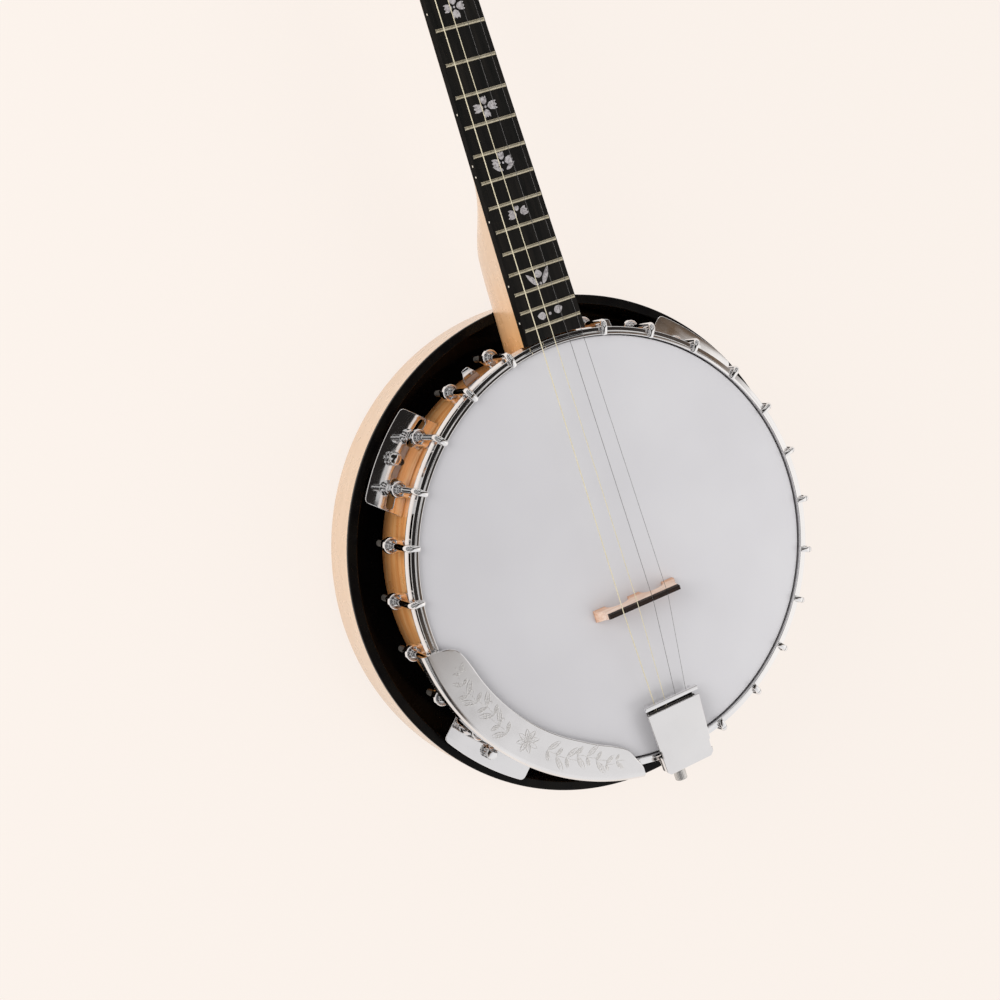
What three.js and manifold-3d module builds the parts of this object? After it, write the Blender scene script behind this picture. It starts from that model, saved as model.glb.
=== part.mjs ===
// Irish tenor banjo, lying on its back: head up (+Z), headstock along +Y.
// Origin: centre of the flat back of the resonator. Lengths are in millimetres, angles in degrees.
import * as THREE from 'three';
import { mergeVertices } from 'three/addons/utils/BufferGeometryUtils.js';
import Module from 'manifold-3d';

const wasm = await Module();
wasm.setup();

// Fits
const seatGap = 0.3;
const runningGap = 0.3;
const cutOverrun = 4;
const weldTolerance = 0.0001;

// Pot: wooden rim, tone ring, head and tension hoop
const potDepth = 98;
const headDiameter = 279.4;
const headBelowHoop = 2.6;
const headThickness = 0.5;
const headEdgeRound = 1.8;
const fleshHoopWidth = 3.9;
const fleshHoopHeight = 3;
const fleshHoopLift = 0.6;
const hoopBeyondRim = 7.8;
const hoopThickness = 5.8;
const hoopHeight = 13;
const hoopBeadHeight = 1.2;
const hoopBeadSlope = 3.4;
const hoopWallInset = 1.1;
const hoopLipInset = 0.6;
const hoopLipDrop = 0.6;
const hoopRailWidth = 3.6;
const hoopGrooveWidth = 1;
const hoopGrooveDepth = 1.1;
const rimThickness = 15;
const rimBottomZ = 20;
const toneRingWidth = 6;
const toneRingHeight = 7;
const ringSegments = 52;
const boardEndSegments = 156;

// Hooks: 26 equal places round the hoop, the neck has the first and the tailpiece the middle one
const hoopPlaces = 26;
const hookBandWidth = 4.6;
const hookBandThickness = 1.6;
const hookBandDrop = 8;
const hookTipInset = 0.5;
const hookCornerCut = 1.1;
const hookShaftRadius = 2.1;
const hookShaftBelowHoop = 54;
const hookShaftSides = 6;
const shoeBelowHoop = 31;
const shoeRadius = 5.7;
const shoeFaceShare = 0.8;
const shoeBulgeShare = 0.6;
const shoeWaistRadius = 4.3;
const shoeSides = 8;
const hookNutRadius = 3.7;
const hookNutHeight = 4.9;
const hookNutSides = 6;

// Resonator
const resonatorRingGap = 25.8;
const resonatorFrontBelowHoop = 51.6;
const resonatorWall = 6.5;
const resonatorFloor = 5;
const resonatorBackSlope = 30;
const resonatorBackRise = 5;
const resonatorCornerRound = 3;
const resonatorSegments = 78;
const heelNotchGap = 0.9;

// Flange plates, thumb screws and the lugs inside the resonator that take them
const plateAboveResonator = 9;
const plateHalfLength = 33;
const plateThickness = 1.6;
const plateOverhang = 1.5;
const plateLegHeight = 12;
const plateCornerRound = 4;
const plateArcSteps = 6;
const plateSlotWidth = 5;
const plateSlotSweep = 5.8;
const plateSlotAngle = 8.2;
const plateSlotSteps = 2;
const plateSlotSides = 10;
const plateBossRadius = 5;
const plateScrewFromRim = 10.9;
const plateScrewRadius = 2;
const plateScrewHeight = 1.6;
const plateAngleSteps = [3.5, 9.5];
const thumbScrewInset = 8.5;
const thumbScrewRadius = 2;
const thumbScrewHeadRadius = 4.7;
const thumbScrewHeadHeight = 6;
const thumbScrewCollar = 1.2;
const thumbScrewDepth = 11;
const thumbScrewSides = 12;
const lugWidth = 22;
const lugReach = 15;
const lugHeight = 14;

// Folded tabs beside the neck
const tabAngleSteps = 1.5;
const tabWidth = 12;
const tabTipWidth = 5;
const tabReach = 14;
const tabLegHeight = 12;
const tabThickness = 1.3;
const tabBelowHoop = 33;

// Strings and scale
const scaleLength = 578;
const semitonesInOctave = 12;
const bridgeBehindCentre = 36.4;
const lastFretRoom = 4;
const stringCount = 4;
const stringSpacingAtBridge = 11.6;
const stringSpacingAtNut = 7.7;
const stringSpacingAtTailpiece = 8.5;
const fourthStringDiameter = 1.02;
const thirdStringDiameter = 0.76;
const secondStringDiameter = 0.56;
const firstStringDiameter = 0.46;
const stringSides = 6;
const stringAboveTray = 1.2;
const anchorLoopSteps = 5;
const woundStringCount = 2;
const windingLoops = 2;
const windingSteps = 24;
const windingSelfGap = 0.55;

// Bridge
const bridgeLength = 63;
const bridgeCapLength = 55;
const bridgeHeight = 15.5;
const bridgeFootThickness = 8;
const bridgeTopThickness = 3.4;
const bridgeFootWidth = 9;
const bridgeArchHeight = 6.5;
const bridgeArchTopShare = 0.6;
const bridgeShoulderShare = 0.62;
const bridgeSlotDepth = 0.9;
const bridgeSlotPlay = 0.3;

// Neck, fingerboard and nut
const neckBackAngle = 0.9;
const boardEndGap = 2;
const boardRise = 2.3;
const boardThickness = 6;
const boardPotGap = 0.6;
const boardHalfWidthAtPot = 21.5;
const boardTaper = 0.01704;
const boardOverhang = 0.8;
const fretWidth = 2.2;
const fretHeight = 1;
const fretSink = 0.4;
const fretEndInset = 0.9;
const heelDepthAtRim = 61.5;
const heelDepth = 57.5;
const heelFlatLength = 62;
const heelBlendLength = 57;
const neckDepthAtHeel = 17.5;
const neckDepthAtNut = 13.5;
const neckSideFullness = 0.75;
const neckBackFullness = 0.9;
const neckSectionSteps = 10;
const neckBlendSteps = 8;
const nutLength = 5;
const nutRise = 2;
const nutSlotFloor = 0.9;

// Headstock
const headstockAngle = 11;
const headstockLength = 128;
const headstockThickness = 13.5;
const headstockDrop = 3;
const headstockHalfWidth = 31;
const headstockTipHalfWidth = 26;
const headstockCurveSteps = 5;
// Shares of the headstock's length and half widths at the ends and handles of its side curves
const headstockShares = {
  waistHandle: 0.1, earHandle: 0.06, ear: 0.22, sideHandle: 0.5, tipSideHandle: 0.6, tipCorner: 0.88,
  crownHandle: 0.9, crownTop: 0.94, tipSideWidth: 0.9, crownOuterWidth: 0.7, crownInnerWidth: 0.35,
};

// Tuners, in pairs from the nut outward
const nearTunerAlong = 38;
const nearTunerAcross = 19.5;
const farTunerAlong = 84;
const farTunerAcross = 17;
const postRadius = 3;
const postHeight = 13;
const postCapRadius = 3.9;
const postCapHeight = 1.8;
const windingBaseHeight = 5;
const bushingRadius = 4.8;
const ferruleRadius = 6.8;
const ferruleHeight = 3.2;
const gearCaseRadius = 9;
const gearCaseHeight = 10;
const buttonGap = 5;
const buttonHeight = 15.5;
const buttonHalfWidth = 9;
const buttonFlatnessShare = 0.45;
const buttonProfileShares = [[0.5, 0.04], [0.95, 0.3], [1, 0.6], [0.7, 0.92]];
const tunerSides = 12;

// Coordinator rod
const rodRadius = 4;
const rodZ = 50;
const rodHeelReach = 18;
const rodNutRadius = 7;
const rodNutThickness = 5;
const rodInnerNutGap = 0.7;
const rodCollarRadius = 6;
const rodSides = 12;

// Tailpiece
const tailBehindHoop = 8;
const tailLength = 50.2;
const tailBaseLift = 0.5;
const tailSheet = 1.2;
const tailTopRise = 8;
const tailFrontHalfWidth = 21;
const tailRearHalfWidth = 18.7;
const tailCornerCut = 2.4;
const tailCoverNeckLength = 3.2;
const tailLipThickness = 3.1;
const tailLipOpening = 2.9;
const tailSlotLength = 3;
const tailWallInset = 1;
const tailHingeRadius = 1.3;
const tailPinRadius = 0.9;
const tailHingeAboveBase = 4.6;
const tailAnchorFromRear = 17.5;
const tailAnchorRadius = 1;
const tailAnchorHeight = 2.8;
const tailLegHalfWidth = 9;
const tailLegBelowRod = 9;
const tailNutBelowHoop = 14;
const tailNutRadius = 3.8;
const tailNutLength = 11;
const tailNutStandoff = 4;
const tailNutTaper = 0.6;
const tailNutTaperLength = 2.6;
const tailStudRadius = 2;
const tailSmallSides = 10;

// Armrest
const armrestSheet = 1.4;
const armrestBeyondHoop = 7.1;
const armrestWidth = 26.2;
const armrestSkirt = 10.5;
const armrestEdgeDrop = 1.2;
const armrestShoulder = 3;
const armrestStartAngle = -95.6;
const armrestEndAngle = -167.7;
const armrestSegments = 78;
// Places round the armrest's plan as shares of its width and of its sweep, past its outer edge at 2
const armrestPlanShares = [
  [2, 0], [0.6, 0.004], [0.27, 0.019], [0.09, 0.052], [0.02, 0.1],
  [-0.3, 0.15], [-0.3, 0.5], [-0.3, 0.84],
  [0.06, 0.86], [0.13, 0.912], [0.27, 0.945], [0.44, 0.966], [0.6, 0.986], [0.75, 0.996], [2, 1],
  [2, 0.75], [2, 0.5], [2, 0.25],
];

const quarterTurn = Math.PI / 2;
const fullTurn = Math.PI * 2;
const radians = THREE.MathUtils.degToRad;
const mix = THREE.MathUtils.lerp;

// Levels and radii that follow from the sizes above
const hoopTopZ = potDepth;
const hoopBottomZ = hoopTopZ - hoopHeight;
const headTopZ = hoopTopZ - headBelowHoop;
const stringDiameters = [
  fourthStringDiameter, thirdStringDiameter, secondStringDiameter, firstStringDiameter,
];
const rimOuterRadius = headDiameter / 2;
const hoopOuterRadius = rimOuterRadius + hoopBeyondRim;
const hoopInnerRadius = hoopOuterRadius - hoopThickness;
const hookCircleRadius = hoopOuterRadius + seatGap + hookShaftRadius;
const rimInnerRadius = rimOuterRadius - rimThickness;
const toneRingTopZ = headTopZ - headThickness - seatGap;
const toneRingBottomZ = toneRingTopZ - toneRingHeight;
const rimTopZ = toneRingBottomZ - seatGap;
const resonatorFrontZ = hoopTopZ - resonatorFrontBelowHoop;
const plateBottomZ = resonatorFrontZ + plateAboveResonator;
const resonatorInnerRadius = rimOuterRadius + resonatorRingGap;
const resonatorRadius = resonatorInnerRadius + resonatorWall;
const resonatorFlatRadius = resonatorRadius - resonatorBackSlope;
const placeAngle = 360 / hoopPlaces;
const armrestOuterRadius = hoopOuterRadius + armrestBeyondHoop;
const armrestInnerRadius = armrestOuterRadius - armrestWidth;
const tailRearY = -hoopOuterRadius - tailBehindHoop;
const tailFrontY = tailRearY + tailLength;
const tailAnchorY = tailRearY + tailAnchorFromRear;
const boardEndY = hoopOuterRadius + boardEndGap;
const boardTopZ = hoopTopZ + boardRise;
const bridgeY = -bridgeBehindCentre;
const nutY = scaleLength - (boardEndY - bridgeY);
const fitRadius = rimOuterRadius + seatGap;

// Materials
const chrome = { color: 0xd9dadd, roughness: 0.12, metalness: 1 };
const maple = { color: 0xdca468, roughness: 0.38, metalness: 0 };
const ebony = { color: 0x14110f, roughness: 0.42, metalness: 0 };
const bone = { color: 0xe9e2d0, roughness: 0.45, metalness: 0 };
const skin = { color: 0xcfcbce, roughness: 0.6, metalness: 0 };
const brass = { color: 0xb99a52, roughness: 0.3, metalness: 1 };
const steel = { color: 0xb9bcc0, roughness: 0.25, metalness: 1 };
const bronze = { color: 0xcdb678, roughness: 0.3, metalness: 1 };

// Closed triangle meshes and the solids made of them
function signedVolume(positions, index) {
  const corner = [new THREE.Vector3(), new THREE.Vector3(), new THREE.Vector3()];
  let total = 0;
  for (let i = 0; i < index.length; i += 3) {
    corner.forEach((point, k) => point.fromArray(positions, index[i + k] * 3));
    total += corner[0].dot(corner[1].cross(corner[2]));
  }
  return total / 6;
}

function toSolid(geometry) {
  const plain = geometry.clone();
  plain.deleteAttribute('normal');
  plain.deleteAttribute('uv');
  const welded = mergeVertices(plain, weldTolerance);
  const positions = new Float32Array(welded.attributes.position.array);
  const faces = [];
  const index = welded.index.array;
  for (let i = 0; i < index.length; i += 3) {
    const [a, b, c] = [index[i], index[i + 1], index[i + 2]];
    if (a !== b && b !== c && c !== a) faces.push(a, b, c);
  }
  const facesOut = signedVolume(positions, faces) > 0;
  const triVerts = new Uint32Array(facesOut ? faces : faces.reverse());
  return new wasm.Manifold(new wasm.Mesh({ numProp: 3, vertProperties: positions, triVerts }));
}

function toGeometry(solid) {
  const result = solid.getMesh();
  const geometry = new THREE.BufferGeometry();
  geometry.setAttribute('position', new THREE.BufferAttribute(result.vertProperties, 3));
  geometry.setIndex(new THREE.BufferAttribute(result.triVerts, 1));
  geometry.computeVertexNormals();
  return geometry;
}

function joined(...shapes) {
  return toGeometry(shapes.map(toSolid).reduce((sum, next) => sum.add(next)));
}

function cut(body, ...tools) {
  return toGeometry(tools.map(toSolid).reduce((rest, tool) => rest.subtract(tool), toSolid(body)));
}

function common(first, second) {
  return toGeometry(toSolid(first).intersect(toSolid(second)));
}

// A profile of [radius, height] turned about the Z axis
function turned(profile, segments) {
  const points = profile.map(([radius, z]) => new THREE.Vector2(radius, z));
  if (points[0].x > 0) points.push(points[0].clone());
  return new THREE.LatheGeometry(points, segments).rotateX(quarterTurn);
}

// The same profile turned about the Y axis, heights along +Y
function turnedAlongY(profile, segments) {
  return turned(profile, segments).rotateX(-quarterTurn);
}

function upright(radius, lowZ, highZ, sides) {
  const geometry = new THREE.CylinderGeometry(radius, radius, highZ - lowZ, sides);
  return geometry.rotateX(quarterTurn).translate(0, 0, (lowZ + highZ) / 2);
}

function block(lowX, highX, lowY, highY, lowZ, highZ) {
  const geometry = new THREE.BoxGeometry(highX - lowX, highY - lowY, highZ - lowZ);
  return geometry.translate((lowX + highX) / 2, (lowY + highY) / 2, (lowZ + highZ) / 2);
}

function outlineOf(points) {
  return new THREE.Shape(points.map(([x, y]) => new THREE.Vector2(x, y)));
}

// An outline in plan, standing from lowZ to highZ
function raised(points, lowZ, highZ) {
  const settings = { depth: highZ - lowZ, bevelEnabled: false };
  return new THREE.ExtrudeGeometry(outlineOf(points), settings).translate(0, 0, lowZ);
}

// An outline of [y, z] seen from the side, as wide as given and centred on x = 0
function sideways(points, width) {
  const settings = { depth: width, bevelEnabled: false };
  const geometry = new THREE.ExtrudeGeometry(outlineOf(points), settings);
  geometry.translate(0, 0, -width / 2);
  return geometry.rotateY(quarterTurn).rotateX(quarterTurn);
}

// Rings of points, one per section, skinned and capped
function skinned(rings) {
  const count = rings[0].length;
  const positions = rings.flat().flatMap((point) => [point.x, point.y, point.z]);
  const faces = [];
  for (let ring = 0; ring + 1 < rings.length; ring += 1) {
    for (let k = 0; k < count; k += 1) {
      const here = ring * count + k;
      const beside = ring * count + (k + 1) % count;
      faces.push(here, beside, beside + count, here, beside + count, here + count);
    }
  }
  const last = (rings.length - 1) * count;
  for (let k = 1; k + 1 < count; k += 1) {
    faces.push(0, k + 1, k, last, last + k, last + k + 1);
  }
  const geometry = new THREE.BufferGeometry();
  geometry.setAttribute('position', new THREE.Float32BufferAttribute(positions, 3));
  geometry.setIndex(faces);
  return geometry;
}

// A round tube whose middle line runs through the points
function tubeThrough(points, radius, sides) {
  const normal = new THREE.Vector3(0, 0, 1);
  const rings = points.map((point, i) => {
    const before = points[Math.max(i - 1, 0)];
    const after = points[Math.min(i + 1, points.length - 1)];
    const tangent = after.clone().sub(before).normalize();
    normal.addScaledVector(tangent, -normal.dot(tangent)).normalize();
    const side = tangent.clone().cross(normal);
    return Array.from({ length: sides }, (unused, k) => {
      const turn = k / sides * fullTurn;
      const ringPoint = point.clone().addScaledVector(normal, radius * Math.cos(turn));
      return ringPoint.addScaledVector(side, radius * Math.sin(turn));
    });
  });
  return skinned(rings);
}

// A place in plan at an angle from the neck, towards +X
function polar(radius, degrees) {
  return [radius * Math.sin(radians(degrees)), radius * Math.cos(radians(degrees))];
}

// An arc of places between two angles
function arc(radius, fromDegrees, toDegrees, steps) {
  return Array.from({ length: steps + 1 }, (unused, i) => (
    polar(radius, mix(fromDegrees, toDegrees, i / steps))));
}

const banjo = new THREE.Group();

function add(parent, name, geometry, finish) {
  const closed = toGeometry(toSolid(geometry));
  const mesh = new THREE.Mesh(closed, new THREE.MeshStandardMaterial(finish));
  mesh.name = name;
  parent.add(mesh);
  return mesh;
}

// A group turned to an angle from the neck, so that its +Y points outward there
function radialGroup(degrees) {
  const group = new THREE.Group();
  group.rotation.z = -radians(degrees);
  banjo.add(group);
  return group;
}

// Rim with two holes for the coordinator rod
function rimGeometry() {
  const ring = turned([
    [rimInnerRadius, rimBottomZ],
    [rimOuterRadius, rimBottomZ],
    [rimOuterRadius, rimTopZ],
    [rimInnerRadius, rimTopZ],
  ], ringSegments);
  const reach = rimOuterRadius + cutOverrun;
  const hole = turnedAlongY([[0, -reach], [rodRadius + seatGap, -reach], [rodRadius + seatGap, reach],
    [0, reach]], rodSides);
  return cut(ring, hole.translate(0, 0, rodZ));
}

function toneRingGeometry() {
  const inner = rimOuterRadius - toneRingWidth;
  return turned([
    [inner, toneRingBottomZ],
    [rimOuterRadius, toneRingBottomZ],
    [rimOuterRadius, toneRingTopZ - headEdgeRound],
    [rimOuterRadius - headEdgeRound, toneRingTopZ],
    [inner, toneRingTopZ],
  ], ringSegments);
}

// Skin drawn over the tone ring, with the flesh hoop at its edge
function headGeometry() {
  const inner = rimOuterRadius + seatGap;
  const outer = inner + headThickness;
  const fleshOuter = inner + fleshHoopWidth;
  const fleshBottom = hoopBottomZ + fleshHoopLift;
  const fleshTop = fleshBottom + fleshHoopHeight;
  const underside = headTopZ - headThickness;
  return turned([
    [0, headTopZ],
    [outer - headEdgeRound, headTopZ],
    [outer, headTopZ - headEdgeRound],
    [outer, fleshTop],
    [fleshOuter, fleshTop],
    [fleshOuter, fleshBottom],
    [inner, fleshBottom],
    [inner, underside - headEdgeRound],
    [inner - headEdgeRound, underside],
    [0, underside],
  ], ringSegments);
}

// Hoop with a bead at top and bottom, a groove in its top and a step inside that presses on the flesh hoop
function hoopGeometry() {
  const lipZ = hoopTopZ - hoopLipDrop;
  const railRadius = hoopInnerRadius + hoopRailWidth;
  const stepRadius = rimOuterRadius + seatGap + fleshHoopWidth + seatGap;
  const stepZ = hoopBottomZ + fleshHoopLift + fleshHoopHeight + seatGap;
  return turned([
    [hoopInnerRadius, hoopTopZ],
    [railRadius, hoopTopZ],
    [railRadius + hoopGrooveWidth / 2, hoopTopZ - hoopGrooveDepth],
    [railRadius + hoopGrooveWidth, lipZ],
    [hoopOuterRadius - hoopLipInset, lipZ],
    [hoopOuterRadius - hoopWallInset, hoopBottomZ + hoopBeadHeight + hoopBeadSlope],
    [hoopOuterRadius, hoopBottomZ + hoopBeadHeight],
    [hoopOuterRadius, hoopBottomZ],
    [stepRadius, hoopBottomZ],
    [stepRadius, stepZ],
    [hoopInnerRadius, stepZ],
  ], ringSegments);
}

// Hook, round-headed shoe and nut, at +Y from the pot axis
function hookGeometry() {
  const bandBottom = hoopTopZ + seatGap;
  const bandTop = bandBottom + hookBandThickness;
  const tip = hoopInnerRadius - hookTipInset;
  const bandInner = hoopOuterRadius + seatGap;
  const bandOuter = bandInner + hookBandThickness;
  const shaftAt = hookCircleRadius;
  const band = sideways([
    [tip, bandBottom],
    [bandInner, bandBottom],
    [bandInner, hoopTopZ - hookBandDrop],
    [bandOuter, hoopTopZ - hookBandDrop],
    [bandOuter, bandTop - hookCornerCut],
    [bandOuter - hookCornerCut, bandTop],
    [tip + hookCornerCut, bandTop],
    [tip, bandTop - hookCornerCut],
  ], hookBandWidth);
  const shaft = upright(hookShaftRadius, hoopTopZ - hookShaftBelowHoop, bandTop - hookBandThickness,
    hookShaftSides).translate(0, shaftAt, 0);
  const shoeZ = hoopTopZ - shoeBelowHoop;
  const shoe = turnedAlongY([
    [0, fitRadius],
    [shoeWaistRadius, fitRadius],
    [shoeRadius, shaftAt],
    [shoeRadius * shoeFaceShare, shaftAt + shoeRadius * shoeBulgeShare],
    [0, shaftAt + shoeRadius],
  ], shoeSides).translate(0, 0, shoeZ);
  const nutTop = shoeZ - shoeRadius * shoeFaceShare;
  const nut = upright(hookNutRadius, nutTop - hookNutHeight, nutTop, hookNutSides);
  return joined(band, shaft, shoe, nut.translate(0, shaftAt, 0));
}

// Resonator bowl with lugs for the thumb screws and a notch for the heel
function resonatorGeometry() {
  const bottomEdge = resonatorBackRise + resonatorCornerRound;
  const floorEdge = bottomEdge + resonatorFloor;
  const bowl = turned([
    [0, 0],
    [resonatorFlatRadius, 0],
    [resonatorRadius - resonatorCornerRound, resonatorBackRise],
    [resonatorRadius, bottomEdge],
    [resonatorRadius, resonatorFrontZ],
    [resonatorInnerRadius, resonatorFrontZ],
    [resonatorInnerRadius, floorEdge],
    [resonatorFlatRadius, resonatorFloor],
    [0, resonatorFloor],
  ], resonatorSegments);
  const lugs = plateAngles().map((degrees) => {
    const lug = block(-lugWidth / 2, lugWidth / 2, resonatorInnerRadius - lugReach,
      resonatorInnerRadius + resonatorWall / 2, resonatorFrontZ - lugHeight, resonatorFrontZ);
    return lug.rotateZ(-radians(degrees));
  });
  const holes = plateAngles().map((degrees) => {
    const hole = upright(thumbScrewRadius + runningGap, resonatorFrontZ - thumbScrewDepth - cutOverrun / 2,
      resonatorFrontZ + cutOverrun, thumbScrewSides);
    return hole.translate(0, thumbScrewAt(), 0).rotateZ(-radians(degrees));
  });
  const notch = heelRoom(heelNotchGap);
  return cut(joined(bowl, ...lugs), ...holes, notch);
}

function plateAngles() {
  return plateAngleSteps.flatMap((steps) => [steps * placeAngle, -steps * placeAngle]);
}

function thumbScrewAt() {
  return resonatorInnerRadius - thumbScrewInset;
}

// Where a circle about the pot axis meets a line that many millimetres from the middle of a plate
function angleAcross(radius, across) {
  return THREE.MathUtils.radToDeg(Math.asin(across / radius));
}

// L-shaped plate: a leaf over the lug with a boss that stands on it, a leg down the rim, slots for two
// hooks and a screw between them
function plateGeometry() {
  const bottomZ = plateBottomZ;
  const leafTopZ = bottomZ + plateThickness;
  const outer = resonatorInnerRadius + plateOverhang;
  const nearCorner = fitRadius + plateCornerRound;
  const farCorner = outer - plateCornerRound;
  const innerHalf = angleAcross(fitRadius, plateHalfLength - plateCornerRound);
  const outerHalf = angleAcross(outer, plateHalfLength - plateCornerRound);
  const leaf = raised([
    ...arc(fitRadius, innerHalf, -innerHalf, plateArcSteps),
    polar(nearCorner, -angleAcross(nearCorner, plateHalfLength)),
    polar(farCorner, -angleAcross(farCorner, plateHalfLength)),
    ...arc(outer, -outerHalf, outerHalf, plateArcSteps),
    polar(farCorner, angleAcross(farCorner, plateHalfLength)),
    polar(nearCorner, angleAcross(nearCorner, plateHalfLength)),
  ], bottomZ, leafTopZ);
  const leg = raised([
    ...arc(fitRadius, innerHalf, -innerHalf, plateArcSteps),
    ...arc(fitRadius + plateThickness, -innerHalf, innerHalf, plateArcSteps),
  ], bottomZ - plateLegHeight, leafTopZ);
  const slots = [plateSlotAngle, -plateSlotAngle].map((degrees) => plateSlot(degrees, bottomZ));
  const boss = upright(plateBossRadius, resonatorFrontZ + seatGap, leafTopZ, thumbScrewSides)
    .translate(0, thumbScrewAt(), 0);
  const hole = upright(thumbScrewRadius + runningGap, resonatorFrontZ - cutOverrun, leafTopZ + cutOverrun,
    thumbScrewSides).translate(0, thumbScrewAt(), 0);
  const screw = turned([
    [0, bottomZ],
    [plateScrewRadius, bottomZ],
    [plateScrewRadius, leafTopZ + plateScrewHeight / 2],
    [plateScrewRadius / 2, leafTopZ + plateScrewHeight],
    [0, leafTopZ + plateScrewHeight],
  ], plateSlotSides).translate(0, rimOuterRadius + plateScrewFromRim, 0);
  return cut(joined(leaf, leg, boss, screw), ...slots, hole);
}

// Slot with round ends along the circle of the hooks
function plateSlot(degrees, bottomZ) {
  const halfWidth = plateSlotWidth / 2;
  const near = degrees - plateSlotSweep / 2;
  const far = degrees + plateSlotSweep / 2;
  const lowZ = bottomZ - cutOverrun;
  const highZ = bottomZ + cutOverrun;
  const middle = raised([
    ...arc(hookCircleRadius - halfWidth, near, far, plateSlotSteps),
    ...arc(hookCircleRadius + halfWidth, far, near, plateSlotSteps),
  ], lowZ, highZ);
  const ends = [near, far].map((angle) => (
    upright(halfWidth, lowZ, highZ, plateSlotSides).translate(0, hookCircleRadius, 0)
      .rotateZ(-radians(angle))));
  return joined(middle, ...ends);
}

function thumbScrewGeometry() {
  const headBottom = plateBottomZ + plateThickness + seatGap;
  const tipZ = resonatorFrontZ - thumbScrewDepth;
  const collarTop = headBottom + thumbScrewCollar;
  return turned([
    [0, tipZ],
    [thumbScrewRadius, tipZ],
    [thumbScrewRadius, headBottom],
    [thumbScrewHeadRadius - thumbScrewCollar, headBottom],
    [thumbScrewHeadRadius, collarTop],
    [thumbScrewHeadRadius, headBottom + thumbScrewHeadHeight - thumbScrewCollar],
    [thumbScrewHeadRadius - thumbScrewCollar, headBottom + thumbScrewHeadHeight],
    [0, headBottom + thumbScrewHeadHeight],
  ], thumbScrewSides).translate(0, thumbScrewAt(), 0);
}

// Folded tab: a leg on the rim and a leaf that narrows outward
function tabGeometry() {
  const leafZ = hoopTopZ - tabBelowHoop;
  const foot = fitRadius;
  const leg = block(-tabWidth / 2, tabWidth / 2, foot, foot + tabThickness, leafZ, leafZ + tabLegHeight);
  const leaf = raised([
    [-tabWidth / 2, foot],
    [tabWidth / 2, foot],
    [tabWidth / 2, foot + tabReach / 2],
    [tabTipWidth / 2, foot + tabReach],
    [-tabTipWidth / 2, foot + tabReach],
    [-tabWidth / 2, foot + tabReach / 2],
  ], leafZ, leafZ + tabThickness);
  return joined(leg, leaf);
}

// The neck has its own frame: +Y along the fingerboard, origin at its end over the pot, top face at z = 0
const neckFrame = new THREE.Group();
neckFrame.position.set(0, boardEndY, boardTopZ);
neckFrame.rotation.x = -radians(neckBackAngle);
banjo.add(neckFrame);
const headstockFrame = new THREE.Group();
headstockFrame.position.set(0, nutY + nutLength + seatGap, -headstockDrop);
headstockFrame.rotation.x = -radians(headstockAngle);
neckFrame.add(headstockFrame);
banjo.updateMatrixWorld(true);
const worldToNeck = neckFrame.matrixWorld.clone().invert();

function boardHalfWidth(y) {
  return boardHalfWidthAtPot - boardTaper * y;
}

// The board overhangs the neck at the pot, and less and less towards the nut
function neckHalfWidth(y) {
  return boardHalfWidth(y) - boardOverhang * (1 - y / nutY);
}

function neckDepth(y) {
  const heelStart = rimOuterRadius - boardEndY;
  const flatEnd = heelStart + heelFlatLength;
  const blendEnd = flatEnd + heelBlendLength;
  if (y < flatEnd) return mix(heelDepthAtRim, heelDepth, (y - heelStart) / heelFlatLength);
  if (y > blendEnd) return mix(neckDepthAtHeel, neckDepthAtNut, (y - blendEnd) / (nutY - blendEnd));
  const blend = THREE.MathUtils.smoothstep(y, flatEnd, blendEnd);
  return mix(heelDepth, neckDepthAtHeel, blend);
}

// A section of the neck: flat top, rounded back, grown all round by extra
function neckSection(y, extra) {
  const width = neckHalfWidth(y) + extra;
  const depth = neckDepth(y) + extra;
  return Array.from({ length: neckSectionSteps + 1 }, (unused, i) => {
    const turn = Math.PI * i / neckSectionSteps;
    const across = Math.cos(turn);
    const fullAcross = Math.sign(across) * Math.abs(across) ** neckSideFullness;
    const down = Math.abs(Math.sin(turn)) ** neckBackFullness;
    return new THREE.Vector3(width * fullAcross, y, -boardThickness - seatGap - depth * down);
  });
}

// The space that the heel takes through the resonator's wall
function heelRoom(extra) {
  const near = resonatorInnerRadius - lugReach - boardEndY;
  const far = resonatorRadius + cutOverrun - boardEndY;
  return skinned([near, far].map((y) => neckSection(y, extra))).applyMatrix4(neckFrame.matrixWorld);
}

function neckGeometry() {
  const heelStart = rimOuterRadius - cutOverrun - boardEndY;
  const flatEnd = rimOuterRadius - boardEndY + heelFlatLength;
  const stations = [heelStart, flatEnd / 2];
  for (let i = 0; i <= neckBlendSteps; i += 1) {
    stations.push(flatEnd + heelBlendLength * i / neckBlendSteps);
  }
  stations.push(nutY / 2 + heelFlatLength, nutY + nutLength + headstockThickness / 2);
  const back = skinned(stations.map((y) => neckSection(y, 0)));
  const potRoom = turned([
    [0, 0],
    [fitRadius, 0],
    [fitRadius, hoopBottomZ - seatGap],
    [hoopOuterRadius + seatGap, hoopBottomZ - seatGap],
    [hoopOuterRadius + seatGap, hoopTopZ + cutOverrun],
    [0, hoopTopZ + cutOverrun],
  ], ringSegments).applyMatrix4(worldToNeck);
  const rodTip = rimOuterRadius + rodHeelReach + runningGap;
  const rodHole = turnedAlongY([[0, 0], [rodRadius + runningGap, 0], [rodRadius + runningGap, rodTip],
    [0, rodTip]], rodSides).translate(0, 0, rodZ).applyMatrix4(worldToNeck);
  const nutRoom = block(-headstockHalfWidth, headstockHalfWidth, nutY - seatGap, nutY + nutLength + seatGap,
    -boardThickness - seatGap, cutOverrun);
  return cut(joined(cut(back, potRoom, rodHole), headstockShape()), nutRoom, ...tunerHoles());
}

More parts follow.
